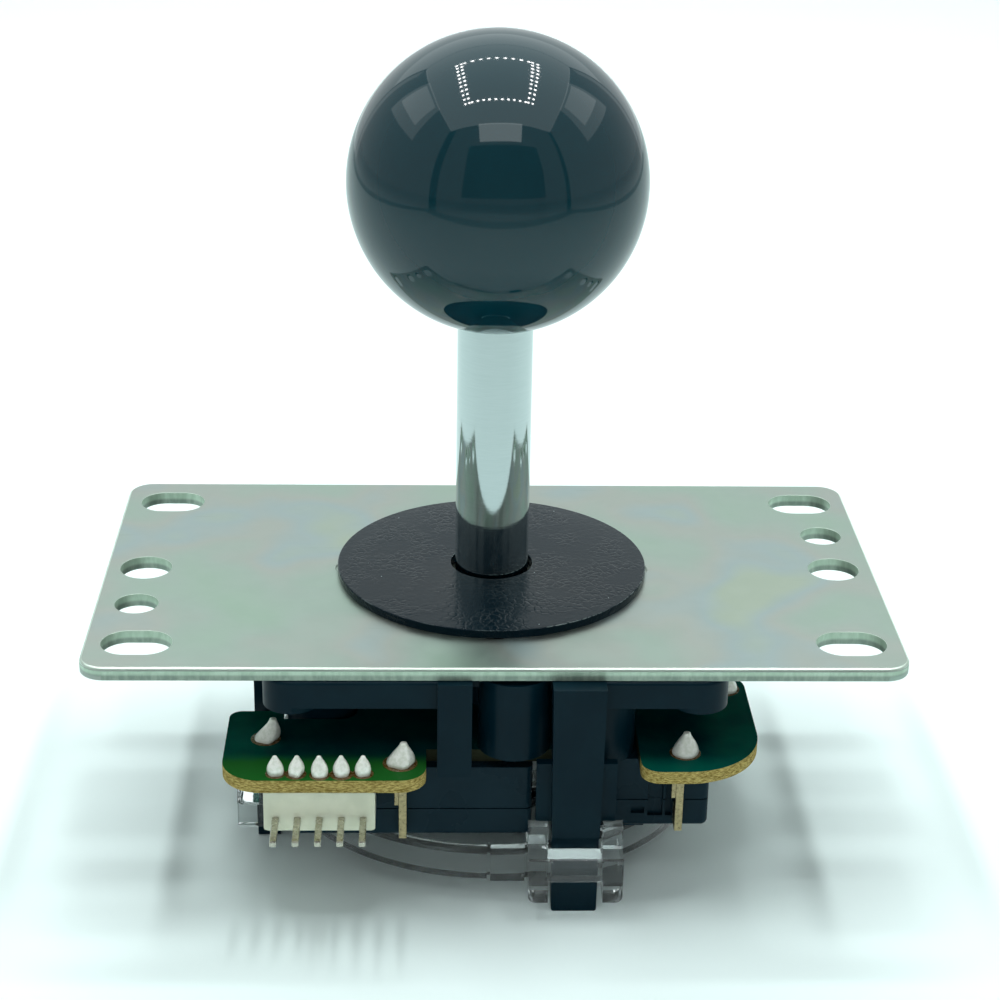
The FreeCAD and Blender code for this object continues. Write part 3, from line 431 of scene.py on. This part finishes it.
def milky_nylon(name, shade, tint):
    finish = Finish(name, IOR=1.5, Roughness=0.42, Subsurface_Weight=0.35)
    finish.shader.inputs["Subsurface Radius"].default_value = (1.0, 1.0, 0.9)
    finish.shader.inputs["Subsurface Scale"].default_value = 0.6 * MM
    patches = finish.group(mottle, "Mask", Size=3.5)
    dust = finish.group(specks, "Mask", Spacing=2.6, Size=0.06, Share=0.12)
    milk = finish.blend(patches, shade, tint)
    finish.colour(finish.blend(dust, milk, (0.40, 0.38, 0.32, 1)))
    height = finish.group(moulded_skin, "Height", Grain=0.18, Depth=0.4)
    finish.normal(finish.bump(height, 0.006))
    return finish.material


def plain_metal(name, dark, bright, rough, grain_scale, depth):
    """A bare metal whose skin varies from dark to bright."""
    finish = Finish(name, Metallic=1.0)
    grain = finish.noise(finish.place(), grain_scale, detail=4.0)
    finish.colour(finish.blend(grain, dark, bright))
    finish.roughness(finish.between(grain, 0.3, 0.7, rough[0], rough[1]))
    finish.normal(finish.bump(grain, depth))
    return finish.material


def clear_polycarbonate():
    finish = Finish("clear polycarbonate", IOR=1.36, Transmission_Weight=0.97)
    spot = finish.place()
    haze = finish.noise(spot, 0.5, detail=3.0)
    finish.colour(finish.blend(haze, (0.96, 0.98, 0.99, 1), (0.98, 1.0, 1.0, 1)))
    finish.roughness(finish.between(haze, 0.35, 0.65, 0.0, 0.05))
    finish.normal(finish.bump(finish.noise(spot, 0.35, detail=1.0), 0.02))
    return finish.material


# Building meshes


def link_piece(name, mesh, material, body):
    """Adds a finished mesh to the scene, riding a body and with its material."""
    piece = bpy.data.objects.new(name, mesh)
    bpy.context.scene.collection.objects.link(piece)
    mesh.materials.append(material)
    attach(piece, body)
    return piece


def smooth(mesh, sharp_degrees=30.0):
    mesh.polygons.foreach_set("use_smooth", [True] * len(mesh.polygons))
    mesh.set_sharp_from_angle(angle=math.radians(sharp_degrees))


def finished_mesh(bm, name, sharp_degrees=30.0):
    bmesh.ops.recalc_face_normals(bm, faces=bm.faces)
    mesh = bpy.data.meshes.new(name)
    bm.to_mesh(mesh)
    bm.free()
    smooth(mesh, sharp_degrees)
    return mesh


def join_rings(bm, here, there):
    """Faces between two closed rings of as many points."""
    for step in range(len(here)):
        after = (step + 1) % len(here)
        bm.faces.new((here[step], here[after], there[after], there[step]))


def turned_mesh(name, profile, around, closed=False):
    """A lathe-turned mesh about Z from (radius, z) points in millimetres; the last may be on the axis."""
    bm = bmesh.new()
    rings = []
    for radius, z in profile:
        if radius == 0:
            rings.append([bm.verts.new((0, 0, z * MM))])
            continue
        ring = []
        for step in range(around):
            angle = 2 * math.pi * step / around
            x, y = radius * math.cos(angle), radius * math.sin(angle)
            ring.append(bm.verts.new((x * MM, y * MM, z * MM)))
        rings.append(ring)
    pairs = list(zip(rings, rings[1:]))
    if closed:
        pairs.append((rings[-1], rings[0]))
    for lower, upper in pairs:
        if len(upper) > 1:
            join_rings(bm, lower, upper)
            continue
        for step in range(around):
            bm.faces.new((lower[step], lower[(step + 1) % around], upper[0]))
    return finished_mesh(bm, name)


def arc(centre_r, centre_z, radius, start, end, steps):
    """(radius, z) points round a quarter or other arc, in degrees from the radial direction."""
    points = []
    for step in range(steps + 1):
        angle = math.radians(start + (end - start) * step / steps)
        points.append((centre_r + radius * math.cos(angle), centre_z + radius * math.sin(angle)))
    return points


def soften(node, width):
    """Rounds a CAD node's sharp edges as a mould or a tumbler leaves them; the mesh stays as packed."""
    piece = nodes[node]
    weld = piece.modifiers.new("join faces", "WELD")
    weld.merge_threshold = 0.002 * MM
    flat = piece.modifiers.new("flat faces", "DECIMATE")
    flat.decimate_type = "DISSOLVE"
    flat.angle_limit = math.radians(0.4)
    edge = piece.modifiers.new("rounded edges", "BEVEL")
    edge.width = width * MM
    edge.segments = 2
    edge.limit_method = "ANGLE"
    edge.angle_limit = math.radians(40)
    edge.use_clamp_overlap = True
    edge.harden_normals = False
    shade = piece.modifiers.new("even shading", "WEIGHTED_NORMAL")
    shade.keep_sharp = False
    shade.weight = 60


def dress(node, material):
    """Gives a CAD node its finish in every material slot."""
    mesh = nodes[node].data
    if not mesh.materials:
        mesh.materials.append(material)
    for index in range(len(mesh.materials)):
        mesh.materials[index] = material


# The visible pieces


def ball(material):
    """The ball as one smooth skin that turns in to its mouth round the shaft."""
    bottom, top = low("ball_top").z, high("ball_top").z
    radius = (high("ball_top").x - low("ball_top").x) / 2
    centre = top - radius
    mouth = math.degrees(math.asin((bottom - centre) / radius))
    clearance, bore_depth, lip, lip_turn = 0.05, 3.0, 0.25, 0.6
    bore = high("lever_shaft").x + clearance
    points = [(bore, bottom + bore_depth), (bore, bottom + lip)]
    points += [(radius * math.cos(math.radians(mouth)) - lip, bottom + lip * 0.1)]
    points += arc(0, centre, radius, mouth + lip_turn, 90, 88)[:-1]
    points.append((0, top))
    mesh = turned_mesh("ball_skin", points, around=160)
    piece = link_piece("ball_skin", mesh, material, "shaft")
    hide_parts("ball_top")


def washer(material):
    """The dust washer, with edges softened as the thick sheet is stamped."""
    bottom, top = low("dust_washer").z, high("dust_washer").z
    outer = high("dust_washer").x
    hole, upper_edge, lower_edge = 5.0, 0.16, 0.05
    points = [(hole, bottom), (outer - lower_edge, bottom), (outer, bottom + lower_edge)]
    points += arc(outer - upper_edge, top - upper_edge, upper_edge, 0, 90, 6)
    points += arc(hole + upper_edge, top - upper_edge, upper_edge, 90, 180, 6)
    mesh = turned_mesh("washer_skin", points, around=192, closed=True)
    piece = link_piece("washer_skin", mesh, material, "housing")
    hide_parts("dust_washer")


def coil(material):
    """The return spring, its last turns closed down and ground flat."""
    seat, floor = high("return_spring").z, low("return_spring").z
    wire, turns, steps = 0.45, 5.6, 360
    mean = high("return_spring").x - wire
    # The closed turns at each end are this share of the wire, and climb this share of the height.
    closed_share, closed_rise = 0.16, 0.16
    points = []
    for step in range(steps + 1):
        share = step / steps
        rise = min(max((share - closed_share) / (1 - 2 * closed_share), 0.0), 1.0)
        eased = share * closed_rise + rise * (1 - closed_rise)
        angle = 2 * math.pi * turns * share
        z = floor + wire + (seat - floor - 2 * wire) * eased
        points.append((mean * math.cos(angle), mean * math.sin(angle), z))
    curve = bpy.data.curves.new("spring_coil", "CURVE")
    curve.dimensions = "3D"
    curve.bevel_depth = wire * MM
    curve.bevel_resolution = 5
    curve.use_fill_caps = True
    spline = curve.splines.new("POLY")
    spline.points.add(len(points) - 1)
    for point, (x, y, z) in zip(spline.points, points):
        point.co = (x * MM, y * MM, z * MM, 1)
    shown = bpy.data.objects.new("spring_line", curve)
    bpy.context.scene.collection.objects.link(shown)
    bpy.context.view_layer.update()
    mesh = bpy.data.meshes.new_from_object(shown.evaluated_get(bpy.context.evaluated_depsgraph_get()))
    bpy.data.objects.remove(shown)
    mesh.name = "spring_coil"
    smooth(mesh)
    piece = link_piece("spring_coil", mesh, material, "lever")
    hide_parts("return_spring")


def solder_places():
    """Centre, base radius and height of each solder joint, read from the CAD node's own islands."""
    bm = bmesh.new()
    bm.from_mesh(nodes["solder_joints"].data)
    bmesh.ops.remove_doubles(bm, verts=bm.verts, dist=0.001 * MM)
    seen = set()
    places = []
    for vert in bm.verts:
        if vert.index in seen:
            continue
        island = []
        queue = [vert]
        seen.add(vert.index)
        while queue:
            here = queue.pop()
            island.append(here.co / MM)
            for edge in here.link_edges:
                other = edge.other_vert(here)
                if other.index not in seen:
                    seen.add(other.index)
                    queue.append(other)
        xs = [point.x for point in island]
        ys = [point.y for point in island]
        zs = [point.z for point in island]
        centre = ((min(xs) + max(xs)) / 2, (min(ys) + max(ys)) / 2, min(zs))
        places.append((centre, (max(xs) - min(xs)) / 2, max(zs) - min(zs)))
    bm.free()
    return sorted(places)


def mound_width(share, small):
    """How wide a joint is at a share of its height; small ones are shaped as drops, large ones as bells."""
    if small:
        return math.sin(math.pi * (0.32 + 0.68 * share)) ** 1.2
    tuck = 0.10 * max(0.0, 1 - share / 0.14) ** 2
    return math.cos(math.pi / 2 * share) ** 1.35 - tuck


def solder_mound(bm, centre, radius, height, chance, small, tip_shift, foot_shift):
    """One joint from its wide foot to its tip, where the cut lead's end shows; says where the foot lies."""
    around, levels = 40, 20
    lean_angle = chance.uniform(0, 2 * math.pi)
    lean = chance.uniform(0.08, 0.30) * radius
    lean_x, lean_y = lean * math.cos(lean_angle), lean * math.sin(lean_angle)
    if foot_shift:
        lean_x, lean_y = (-shift for shift in foot_shift)
    centre = (centre[0] + tip_shift[0], centre[1] + tip_shift[1], centre[2])
    swell = [chance.uniform(-0.05, 0.05) for _ in range(4)]
    lead = 0.25 if small else 0.40
    rings = []
    for level in range(levels + 2):
        share = min(level / levels, 1.0)
        width = lead + (radius - lead) * mound_width(share, small)
        z = height * share
        if level > levels:
            width, z = lead * 0.6, height + 0.08
        ring = []
        for step in range(around):
            angle = 2 * math.pi * step / around
            wobble = 1 + (1 - share) * sum(swell[k] * math.cos((k + 2) * angle + k) for k in range(4))
            x = width * wobble * math.cos(angle) - lean_x * (1 - share) ** 2
            y = width * wobble * math.sin(angle) - lean_y * (1 - share) ** 2
            ring.append(bm.verts.new(((centre[0] + x) * MM, (centre[1] + y) * MM, (centre[2] + z) * MM)))
        rings.append(ring)
    for below, above in zip(rings, rings[1:]):
        join_rings(bm, below, above)
    bm.faces.new(rings[-1])
    bm.faces.new(list(reversed(rings[0])))
    return centre[0] - lean_x, centre[1] - lean_y, centre[2]


def disc(bm, centre, inner, outer, thickness):
    """A thin flat ring that lies on the board."""
    around = 40
    section = ((inner, 0), (inner, thickness), (outer - 0.1, thickness), (outer, thickness * 0.3), (outer, 0))
    loops = []
    for radius, z in section:
        loop = []
        for step in range(around):
            angle = 2 * math.pi * step / around
            loop.append(bm.verts.new(((centre[0] + radius * math.cos(angle)) * MM,
                                      (centre[1] + radius * math.sin(angle)) * MM, (centre[2] + z) * MM)))
        loops.append(loop)
    for here, there in zip(loops, loops[1:] + loops[:1]):
        join_rings(bm, here, there)


def solder(solder_material, flux_material):
    """The joints; four at the front are listed one by one as they lie, and the others lean by chance."""
    # By place: how far the tip and the foot are shifted, and the width as a share of the CAD joint's.
    by_hand = {
        (-26, -22): ((-0.2, 0.1), (-0.9, 0.0), 0.82),
        (22, -26): ((0.6, 0.9), (-0.1, 0.0), 0.96),
        (27, -11): ((1.1, 1.4), (0.1, 0.1), 1.0),
        (-11, -27): ((0.1, 0.1), (-0.4, 0.0), 0.95),
    }
    by_chance = ((0, 0), None, 1.0)
    chance = random.Random(11)
    mounds = bmesh.new()
    rings = bmesh.new()
    for centre, radius, height in solder_places():
        small = radius < 1.2
        tip_shift, foot_shift, spread = by_hand.get((round(centre[0]), round(centre[1])), by_chance)
        width = radius * spread
        foot = solder_mound(mounds, centre, width, height - 0.1, chance, small, tip_shift, foot_shift)
        disc(rings, foot, width - 0.35, width + chance.uniform(0.18, 0.40), 0.03)
    piece = link_piece("solder_mounds", finished_mesh(mounds, "solder_mounds", 50), solder_material,
                       "housing")
    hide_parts("solder_joints")
    link_piece("flux_rings", finished_mesh(rings, "flux_rings"), flux_material, "housing")


def pin_row(material):
    """The connector's bent square pins, each with rounded corners and a small chamfer at its end."""
    start, end = low("connector_pins"), high("connector_pins")
    count, half, corner = 5, 0.38, 0.08
    bend, bend_steps = 0.55, 6
    tip_length, tip_half = 0.14, 0.25
    cad_half = 0.32
    back_y, run_z = end.y - cad_half, start.z + cad_half
    # Each stage of a pin: its centre as (y, z), the way it runs, and half its width.
    path = [((back_y, end.z), (0, -1), half), ((back_y, run_z + bend), (0, -1), half)]
    for step in range(1, bend_steps + 1):
        angle = math.pi / 2 * step / bend_steps
        spot = (back_y - bend + bend * math.cos(angle), run_z + bend - bend * math.sin(angle))
        path.append((spot, (-math.sin(angle), -math.cos(angle)), half))
    path += [((start.y + tip_length, run_z), (-1, 0), half), ((start.y, run_z), (-1, 0), tip_half)]
    bm = bmesh.new()
    for pin in range(count):
        middle = start.x + cad_half + (end.x - start.x - 2 * cad_half) * pin / (count - 1)
        rings = []
        for (y, z), (along_y, along_z), reach in path:
            flat = reach - corner
            section = [(reach, -flat), (reach, flat), (flat, reach), (-flat, reach),
                       (-reach, flat), (-reach, -flat), (-flat, -reach), (flat, -reach)]
            rings.append([bm.verts.new(((middle + across) * MM, (y - along_z * off) * MM,
                                        (z + along_y * off) * MM)) for across, off in section])
        for here, there in zip(rings, rings[1:]):
            join_rings(bm, here, there)
        bm.faces.new(rings[0])
        bm.faces.new(list(reversed(rings[-1])))
    piece = link_piece("pin_row", finished_mesh(bm, "pin_row", 35), material, "housing")
    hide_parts("connector_pins")


# Floor, light tent and camera

# The tent's walls and ceiling, in metres
TENT_SIDE, TENT_FRONT, TENT_BACK, TENT_TOP = 0.45, -0.34, 0.62, 0.62


def floor(level):
    """A pale table, darker in what gloss mirrors, that glows for the camera past the tent's walls."""
    bm = bmesh.new()
    reach = 4.0
    corners = [(-reach, -reach), (reach, -reach), (reach, reach), (-reach, reach)]
    bm.faces.new([bm.verts.new((x, y, level * MM)) for x, y in corners])
    mesh = bpy.data.meshes.new("floor")
    bm.to_mesh(mesh)
    bm.free()
    finish = Finish("pale table", Roughness=0.55, Specular_IOR_Level=0.15)
    parts = finish.add("ShaderNodeSeparateXYZ", {"Vector": finish.place()})
    aside = finish.maths("ABSOLUTE", parts.outputs[0])
    ahead = parts.outputs[1]
    reflection_shade_side, reflection_shade_front, glow_past_tent = 370.0, -250.0, 0.66
    # Painted shade in reflections: polished faces see the table darker than the camera does, and darker still
    # beyond these distances.
    painted_reflection_shade = finish.maths("MAXIMUM", finish.maths("GREATER_THAN", aside, reflection_shade_side),
                              finish.maths("LESS_THAN", ahead, reflection_shade_front))
    mirrored = finish.add("ShaderNodeLightPath").outputs["Is Glossy Ray"]
    reflected = finish.blend(painted_reflection_shade, (0.66, 0.75, 0.74, 1), (0.36, 0.43, 0.43, 1))
    finish.colour(finish.blend(mirrored, (0.86, 0.96, 0.95, 1), reflected))
    beside_tent = finish.maths("GREATER_THAN", aside, TENT_SIDE / MM)
    before_tent = finish.maths("LESS_THAN", ahead, TENT_FRONT / MM)
    behind_tent = finish.maths("GREATER_THAN", ahead, TENT_BACK / MM)
    outside = finish.maths("MAXIMUM", beside_tent, finish.maths("MAXIMUM", before_tent, behind_tent))
    seen = finish.add("ShaderNodeLightPath").outputs["Is Camera Ray"]
    glow = finish.maths("MULTIPLY", finish.maths("MULTIPLY", outside, seen), glow_past_tent)
    finish.set(finish.shader.inputs["Emission Color"], (0.84, 0.93, 0.92, 1))
    finish.set(finish.shader.inputs["Emission Strength"], glow)
    mesh.materials.append(finish.material)
    piece = bpy.data.objects.new("floor", mesh)
    bpy.context.scene.collection.objects.link(piece)


def panel(name, centre, aim, width, height, radiance):
    """A soft light panel of the tent, with one brightness all over."""
    data = bpy.data.lights.new(name, "AREA")
    data.shape = "RECTANGLE"
    data.size = width
    data.size_y = height
    data.energy = radiance * math.pi * width * height
    data.color = (0.92, 1.0, 1.0)
    lamp = bpy.data.objects.new(name, data)
    bpy.context.scene.collection.objects.link(lamp)
    lamp.location = centre
    direction = Vector(aim) - Vector(centre)
    lamp.rotation_mode = "QUATERNION"
    lamp.rotation_quaternion = direction.to_track_quat("-Z", "Y")
    lamp.visible_camera = False
    return lamp


def light_tent():
    """A soft box round the object: bright back and top, dimmer sides, and a front wall with a dark window.

    Four bright strips round the ceiling's window cast the banded shadow, and they don't show in polished faces.
    """
    wall_z, tent_y, nudge, strip_light = 0.30, 0.12, 0.01, 27.0
    panel("back", (0, TENT_BACK, wall_z), (0, 0, wall_z), 1.1, 0.66, 0.30)
    for name, z, height, radiance in (("back_middle", 0.14, 0.34, 0.45), ("back_high", 0.47, 0.32, 0.85)):
        seen_in_gloss_only(panel(name, (0, TENT_BACK - nudge, z), (0, 0, z), 0.9, height, radiance))
    seen_in_gloss_only(panel("top", (0, tent_y, TENT_TOP), (0, tent_y, 0), 0.9, 0.95, 1.10))
    panel("front_top", (0.02, TENT_FRONT, 0.48), (0.02, 0, 0.48), 0.40, 0.24, 0.26)
    panel("bridge", (0, TENT_FRONT + nudge, 0.47), (0, 0, 0), 0.28, 0.13, 2.0)
    panel("front_low", (0.02, TENT_FRONT, 0.02), (0.02, 0, 0.02), 0.40, 0.10, 0.20)
    for side, name in ((-1, "left"), (1, "right")):
        panel(name, (side * TENT_SIDE, tent_y, wall_z), (0, tent_y, wall_z), 0.92, 0.66, 0.34)
        upper_x, bright_x, front_x = side * (TENT_SIDE - nudge), side * (TENT_SIDE - 2 * nudge), side * 0.29 + 0.02
        panel(name + "_upper", (upper_x, 0.11, 0.45), (0, 0.11, 0.45), 0.36, 0.34, 0.55)
        panel(name + "_bright", (bright_x, tent_y, 0.46), (0, tent_y, 0.46), 0.27, 0.22, 0.8)
        panel("front_" + name, (front_x, TENT_FRONT, 0.28), (front_x, 0, 0.28), 0.18, 0.62, 0.24)
    lamp_z = TENT_TOP - 0.03
    for name, centre, aim, width, height, radiance in (
            ("overhead", (0, tent_y, TENT_TOP), (0, tent_y, 0), 0.6, 0.6, 0.22),
            ("far_floor", (0, 0.56, 0.50), (0, 0.62, 0), 1.2, 0.20, 2.6),
            ("strip_left", (-0.205, 0.09, lamp_z), (0, 0.09, 0), 0.41, 0.04, strip_light),
            ("strip_right", (0.194, 0.09, lamp_z), (0, 0.09, 0), 0.41, 0.04, strip_light),
            ("strip_front", (0, -0.118, lamp_z), (0, 0, 0), 0.36, 0.007, strip_light),
            ("strip_back", (0, 0.29, lamp_z), (0, 0, 0), 0.36, 0.034, strip_light),
            ("fill", (0, -0.60, 0.16), (0, 0, 0), 0.45, 0.22, 1.45)):
        seen_in_matt_only(panel(name, centre, aim, width, height, radiance))
    lamp_ring(lamp_z)


def seen_in_matt_only(lamp):
    """Leaves a panel's light on dull faces, without its mirror image in polished ones."""
    lamp.visible_glossy = False


def seen_in_gloss_only(lamp):
    """Leaves a panel in what polished faces mirror, without its light on dull ones."""
    lamp.visible_diffuse = False


def lamp_ring(level):
    """The row of small lamps round the tent's ceiling window, seen only as glints."""
    bm = bmesh.new()
    left_x, right_x, front_y, back_y, half = -0.188, 0.176, -0.118, 0.29, 0.007
    side_rows, side_count = (left_x - 0.028, left_x, right_x, right_x + 0.030), 11
    spots = []
    for y, count in ((front_y, 10), (back_y, 9)):
        spots += [(left_x + (right_x - left_x) * (step + 0.5) / count, y) for step in range(count)]
    for step in range(side_count):
        y = front_y + (back_y - front_y) * step / (side_count - 1)
        spots += [(x, y) for x in side_rows]
    for x, y in spots:
        square = ((x - half, y - half), (x - half, y + half), (x + half, y + half), (x + half, y - half))
        bm.faces.new([bm.verts.new((a, b, level)) for a, b in square])
    mesh = bpy.data.meshes.new("lamp_ring")
    bm.to_mesh(mesh)
    bm.free()
    glow = bpy.data.materials.new("lamp glow")
    glow.use_nodes = True
    wiring = Wiring(glow.node_tree)
    light = wiring.add("ShaderNodeEmission", {"Color": (1.0, 1.0, 1.0, 1), "Strength": 34.0})
    wiring.set(glow.node_tree.nodes["Material Output"].inputs["Surface"], light.outputs[0])
    mesh.materials.append(glow)
    ring = bpy.data.objects.new("lamp_ring", mesh)
    bpy.context.scene.collection.objects.link(ring)
    ring.visible_camera = False
    ring.visible_diffuse = False
    ring.visible_shadow = False


def world():
    """A dim room for the light, seen by the camera as a pale backdrop."""
    made = bpy.data.worlds.new("pale room")
    made.use_nodes = True
    wiring = Wiring(made.node_tree)
    background = made.node_tree.nodes["Background"]
    background.inputs["Color"].default_value = (0.93, 1.0, 1.0, 1)
    seen = wiring.add("ShaderNodeLightPath").outputs["Is Camera Ray"]
    room_light, backdrop = 0.13, 0.92
    wiring.set(background.inputs["Strength"], wiring.between(seen, 0.0, 1.0, room_light, backdrop))
    bpy.context.scene.world = made


def camera():
    """The photograph's view: its lens and place were solved from the plate's known outline."""
    data = bpy.data.cameras.new("camera")
    data.lens = 80.67
    data.sensor_width = 36.0
    data.clip_start = 0.01
    data.clip_end = 20.0
    piece = bpy.data.objects.new("camera", data)
    bpy.context.scene.collection.objects.link(piece)
    right = Vector((0.999453783, -0.028503502, 0.016723834))
    down = Vector((0.003915655, -0.400351585, -0.916353248))
    ahead = Vector((0.032814690, 0.915918205, -0.400021296))
    turn = Matrix((right, -down, -ahead)).transposed()
    place = Vector((-8.09, -251.09, 118.92)) * MM
    piece.matrix_world = Matrix.Translation(place) @ turn.to_4x4()
    bpy.context.scene.camera = piece


# Finishes, and the width in millimetres of each CAD node's rounded edges

black_plastic = moulded_black("moulded black", ((0.0005, 0.011, 0.019, 1), (0.0015, 0.015, 0.024, 1)),
                              (0.28, 0.42), 0.10, 0.006)
switch_plastic = moulded_black("switch black", ((0.003, 0.015, 0.024, 1), (0.005, 0.020, 0.031, 1)),
                               (0.24, 0.38), 0.08, 0.005)
nylon_black = moulded_black("actuator black", ((0.010, 0.012, 0.014, 1), (0.014, 0.016, 0.018, 1)),
                            (0.32, 0.45), 0.12, 0.006)
plunger_plastic = moulded_black("plunger brown", ((0.20, 0.035, 0.025, 1), (0.24, 0.045, 0.03, 1)),
                                (0.3, 0.4), 0.12, 0.004)
zinc = zinc_plated_steel()
clear = clear_polycarbonate()
brass = plain_metal("dull brass", (0.08, 0.055, 0.025, 1), (0.80, 0.66, 0.38, 1), (0.25, 0.5), 2.4, 0.03)
tinned = plain_metal("tinned pin", (0.40, 0.38, 0.32, 1), (0.72, 0.70, 0.60, 1), (0.20, 0.36), 1.6, 0.02)
spring_wire = plain_metal("spring wire", (0.45, 0.46, 0.48, 1), (0.62, 0.63, 0.65, 1), (0.18, 0.3), 3.0, 0.01)
clip_steel = plain_metal("black oxide steel", (0.05, 0.05, 0.055, 1), (0.10, 0.10, 0.11, 1), (0.3, 0.45),
                         3.0, 0.01)
nylon_white = milky_nylon("natural nylon", (0.70, 0.72, 0.66, 1), (0.78, 0.79, 0.74, 1))
connector_white = milky_nylon("connector nylon", (0.62, 0.64, 0.50, 1), (0.73, 0.74, 0.59, 1))
chrome = chromed_steel()

finishes = {
    "mounting_plate": (zinc, 0.20),
    "plate_screws": (zinc, 0.05),
    "body_housing": (black_plastic, 0.14),
    "circuit_board": (solder_mask_green(), 0.06),
    "connector_housing": (connector_white, 0.12),
    "connector_pins": (tinned, 0.05),
    "restrictor_frame": (clear, 0.14),
    "restrictor_gate": (clear, 0.14),
    "lever_shaft": (chrome, 0.06),
    "ball_insert": (brass, 0.05),
    "pivot_ball": (nylon_white, 0.08),
    "spring_seat": (nylon_white, 0.08),
    "actuator": (nylon_black, 0.10),
    "e_clip": (clip_steel, 0.05),
}
for side in SIDES:
    finishes["switch_case_" + side] = (switch_plastic, 0.12)
    finishes["switch_cover_" + side] = (switch_plastic, 0.08)
    finishes["switch_plunger_" + side] = (plunger_plastic, 0.08)
    finishes["switch_terminals_" + side] = (brass, 0.05)

for node, (material, edge_width) in finishes.items():
    dress(node, material)
    soften(node, edge_width)

ball(polished_black_ball())
washer(leather_grained_black())
coil(spring_wire)
solder(bright_solder(), flux_amber())
pin_row(tinned)

# These nodes stay hidden under the scene's own pieces; they only keep a plain finish.
for node in ("ball_top", "dust_washer", "return_spring", "solder_joints"):
    dress(node, black_plastic)

floor(low("body_housing").z)
light_tent()
world()
camera()
bpy.context.scene.view_settings.view_transform = "Standard"
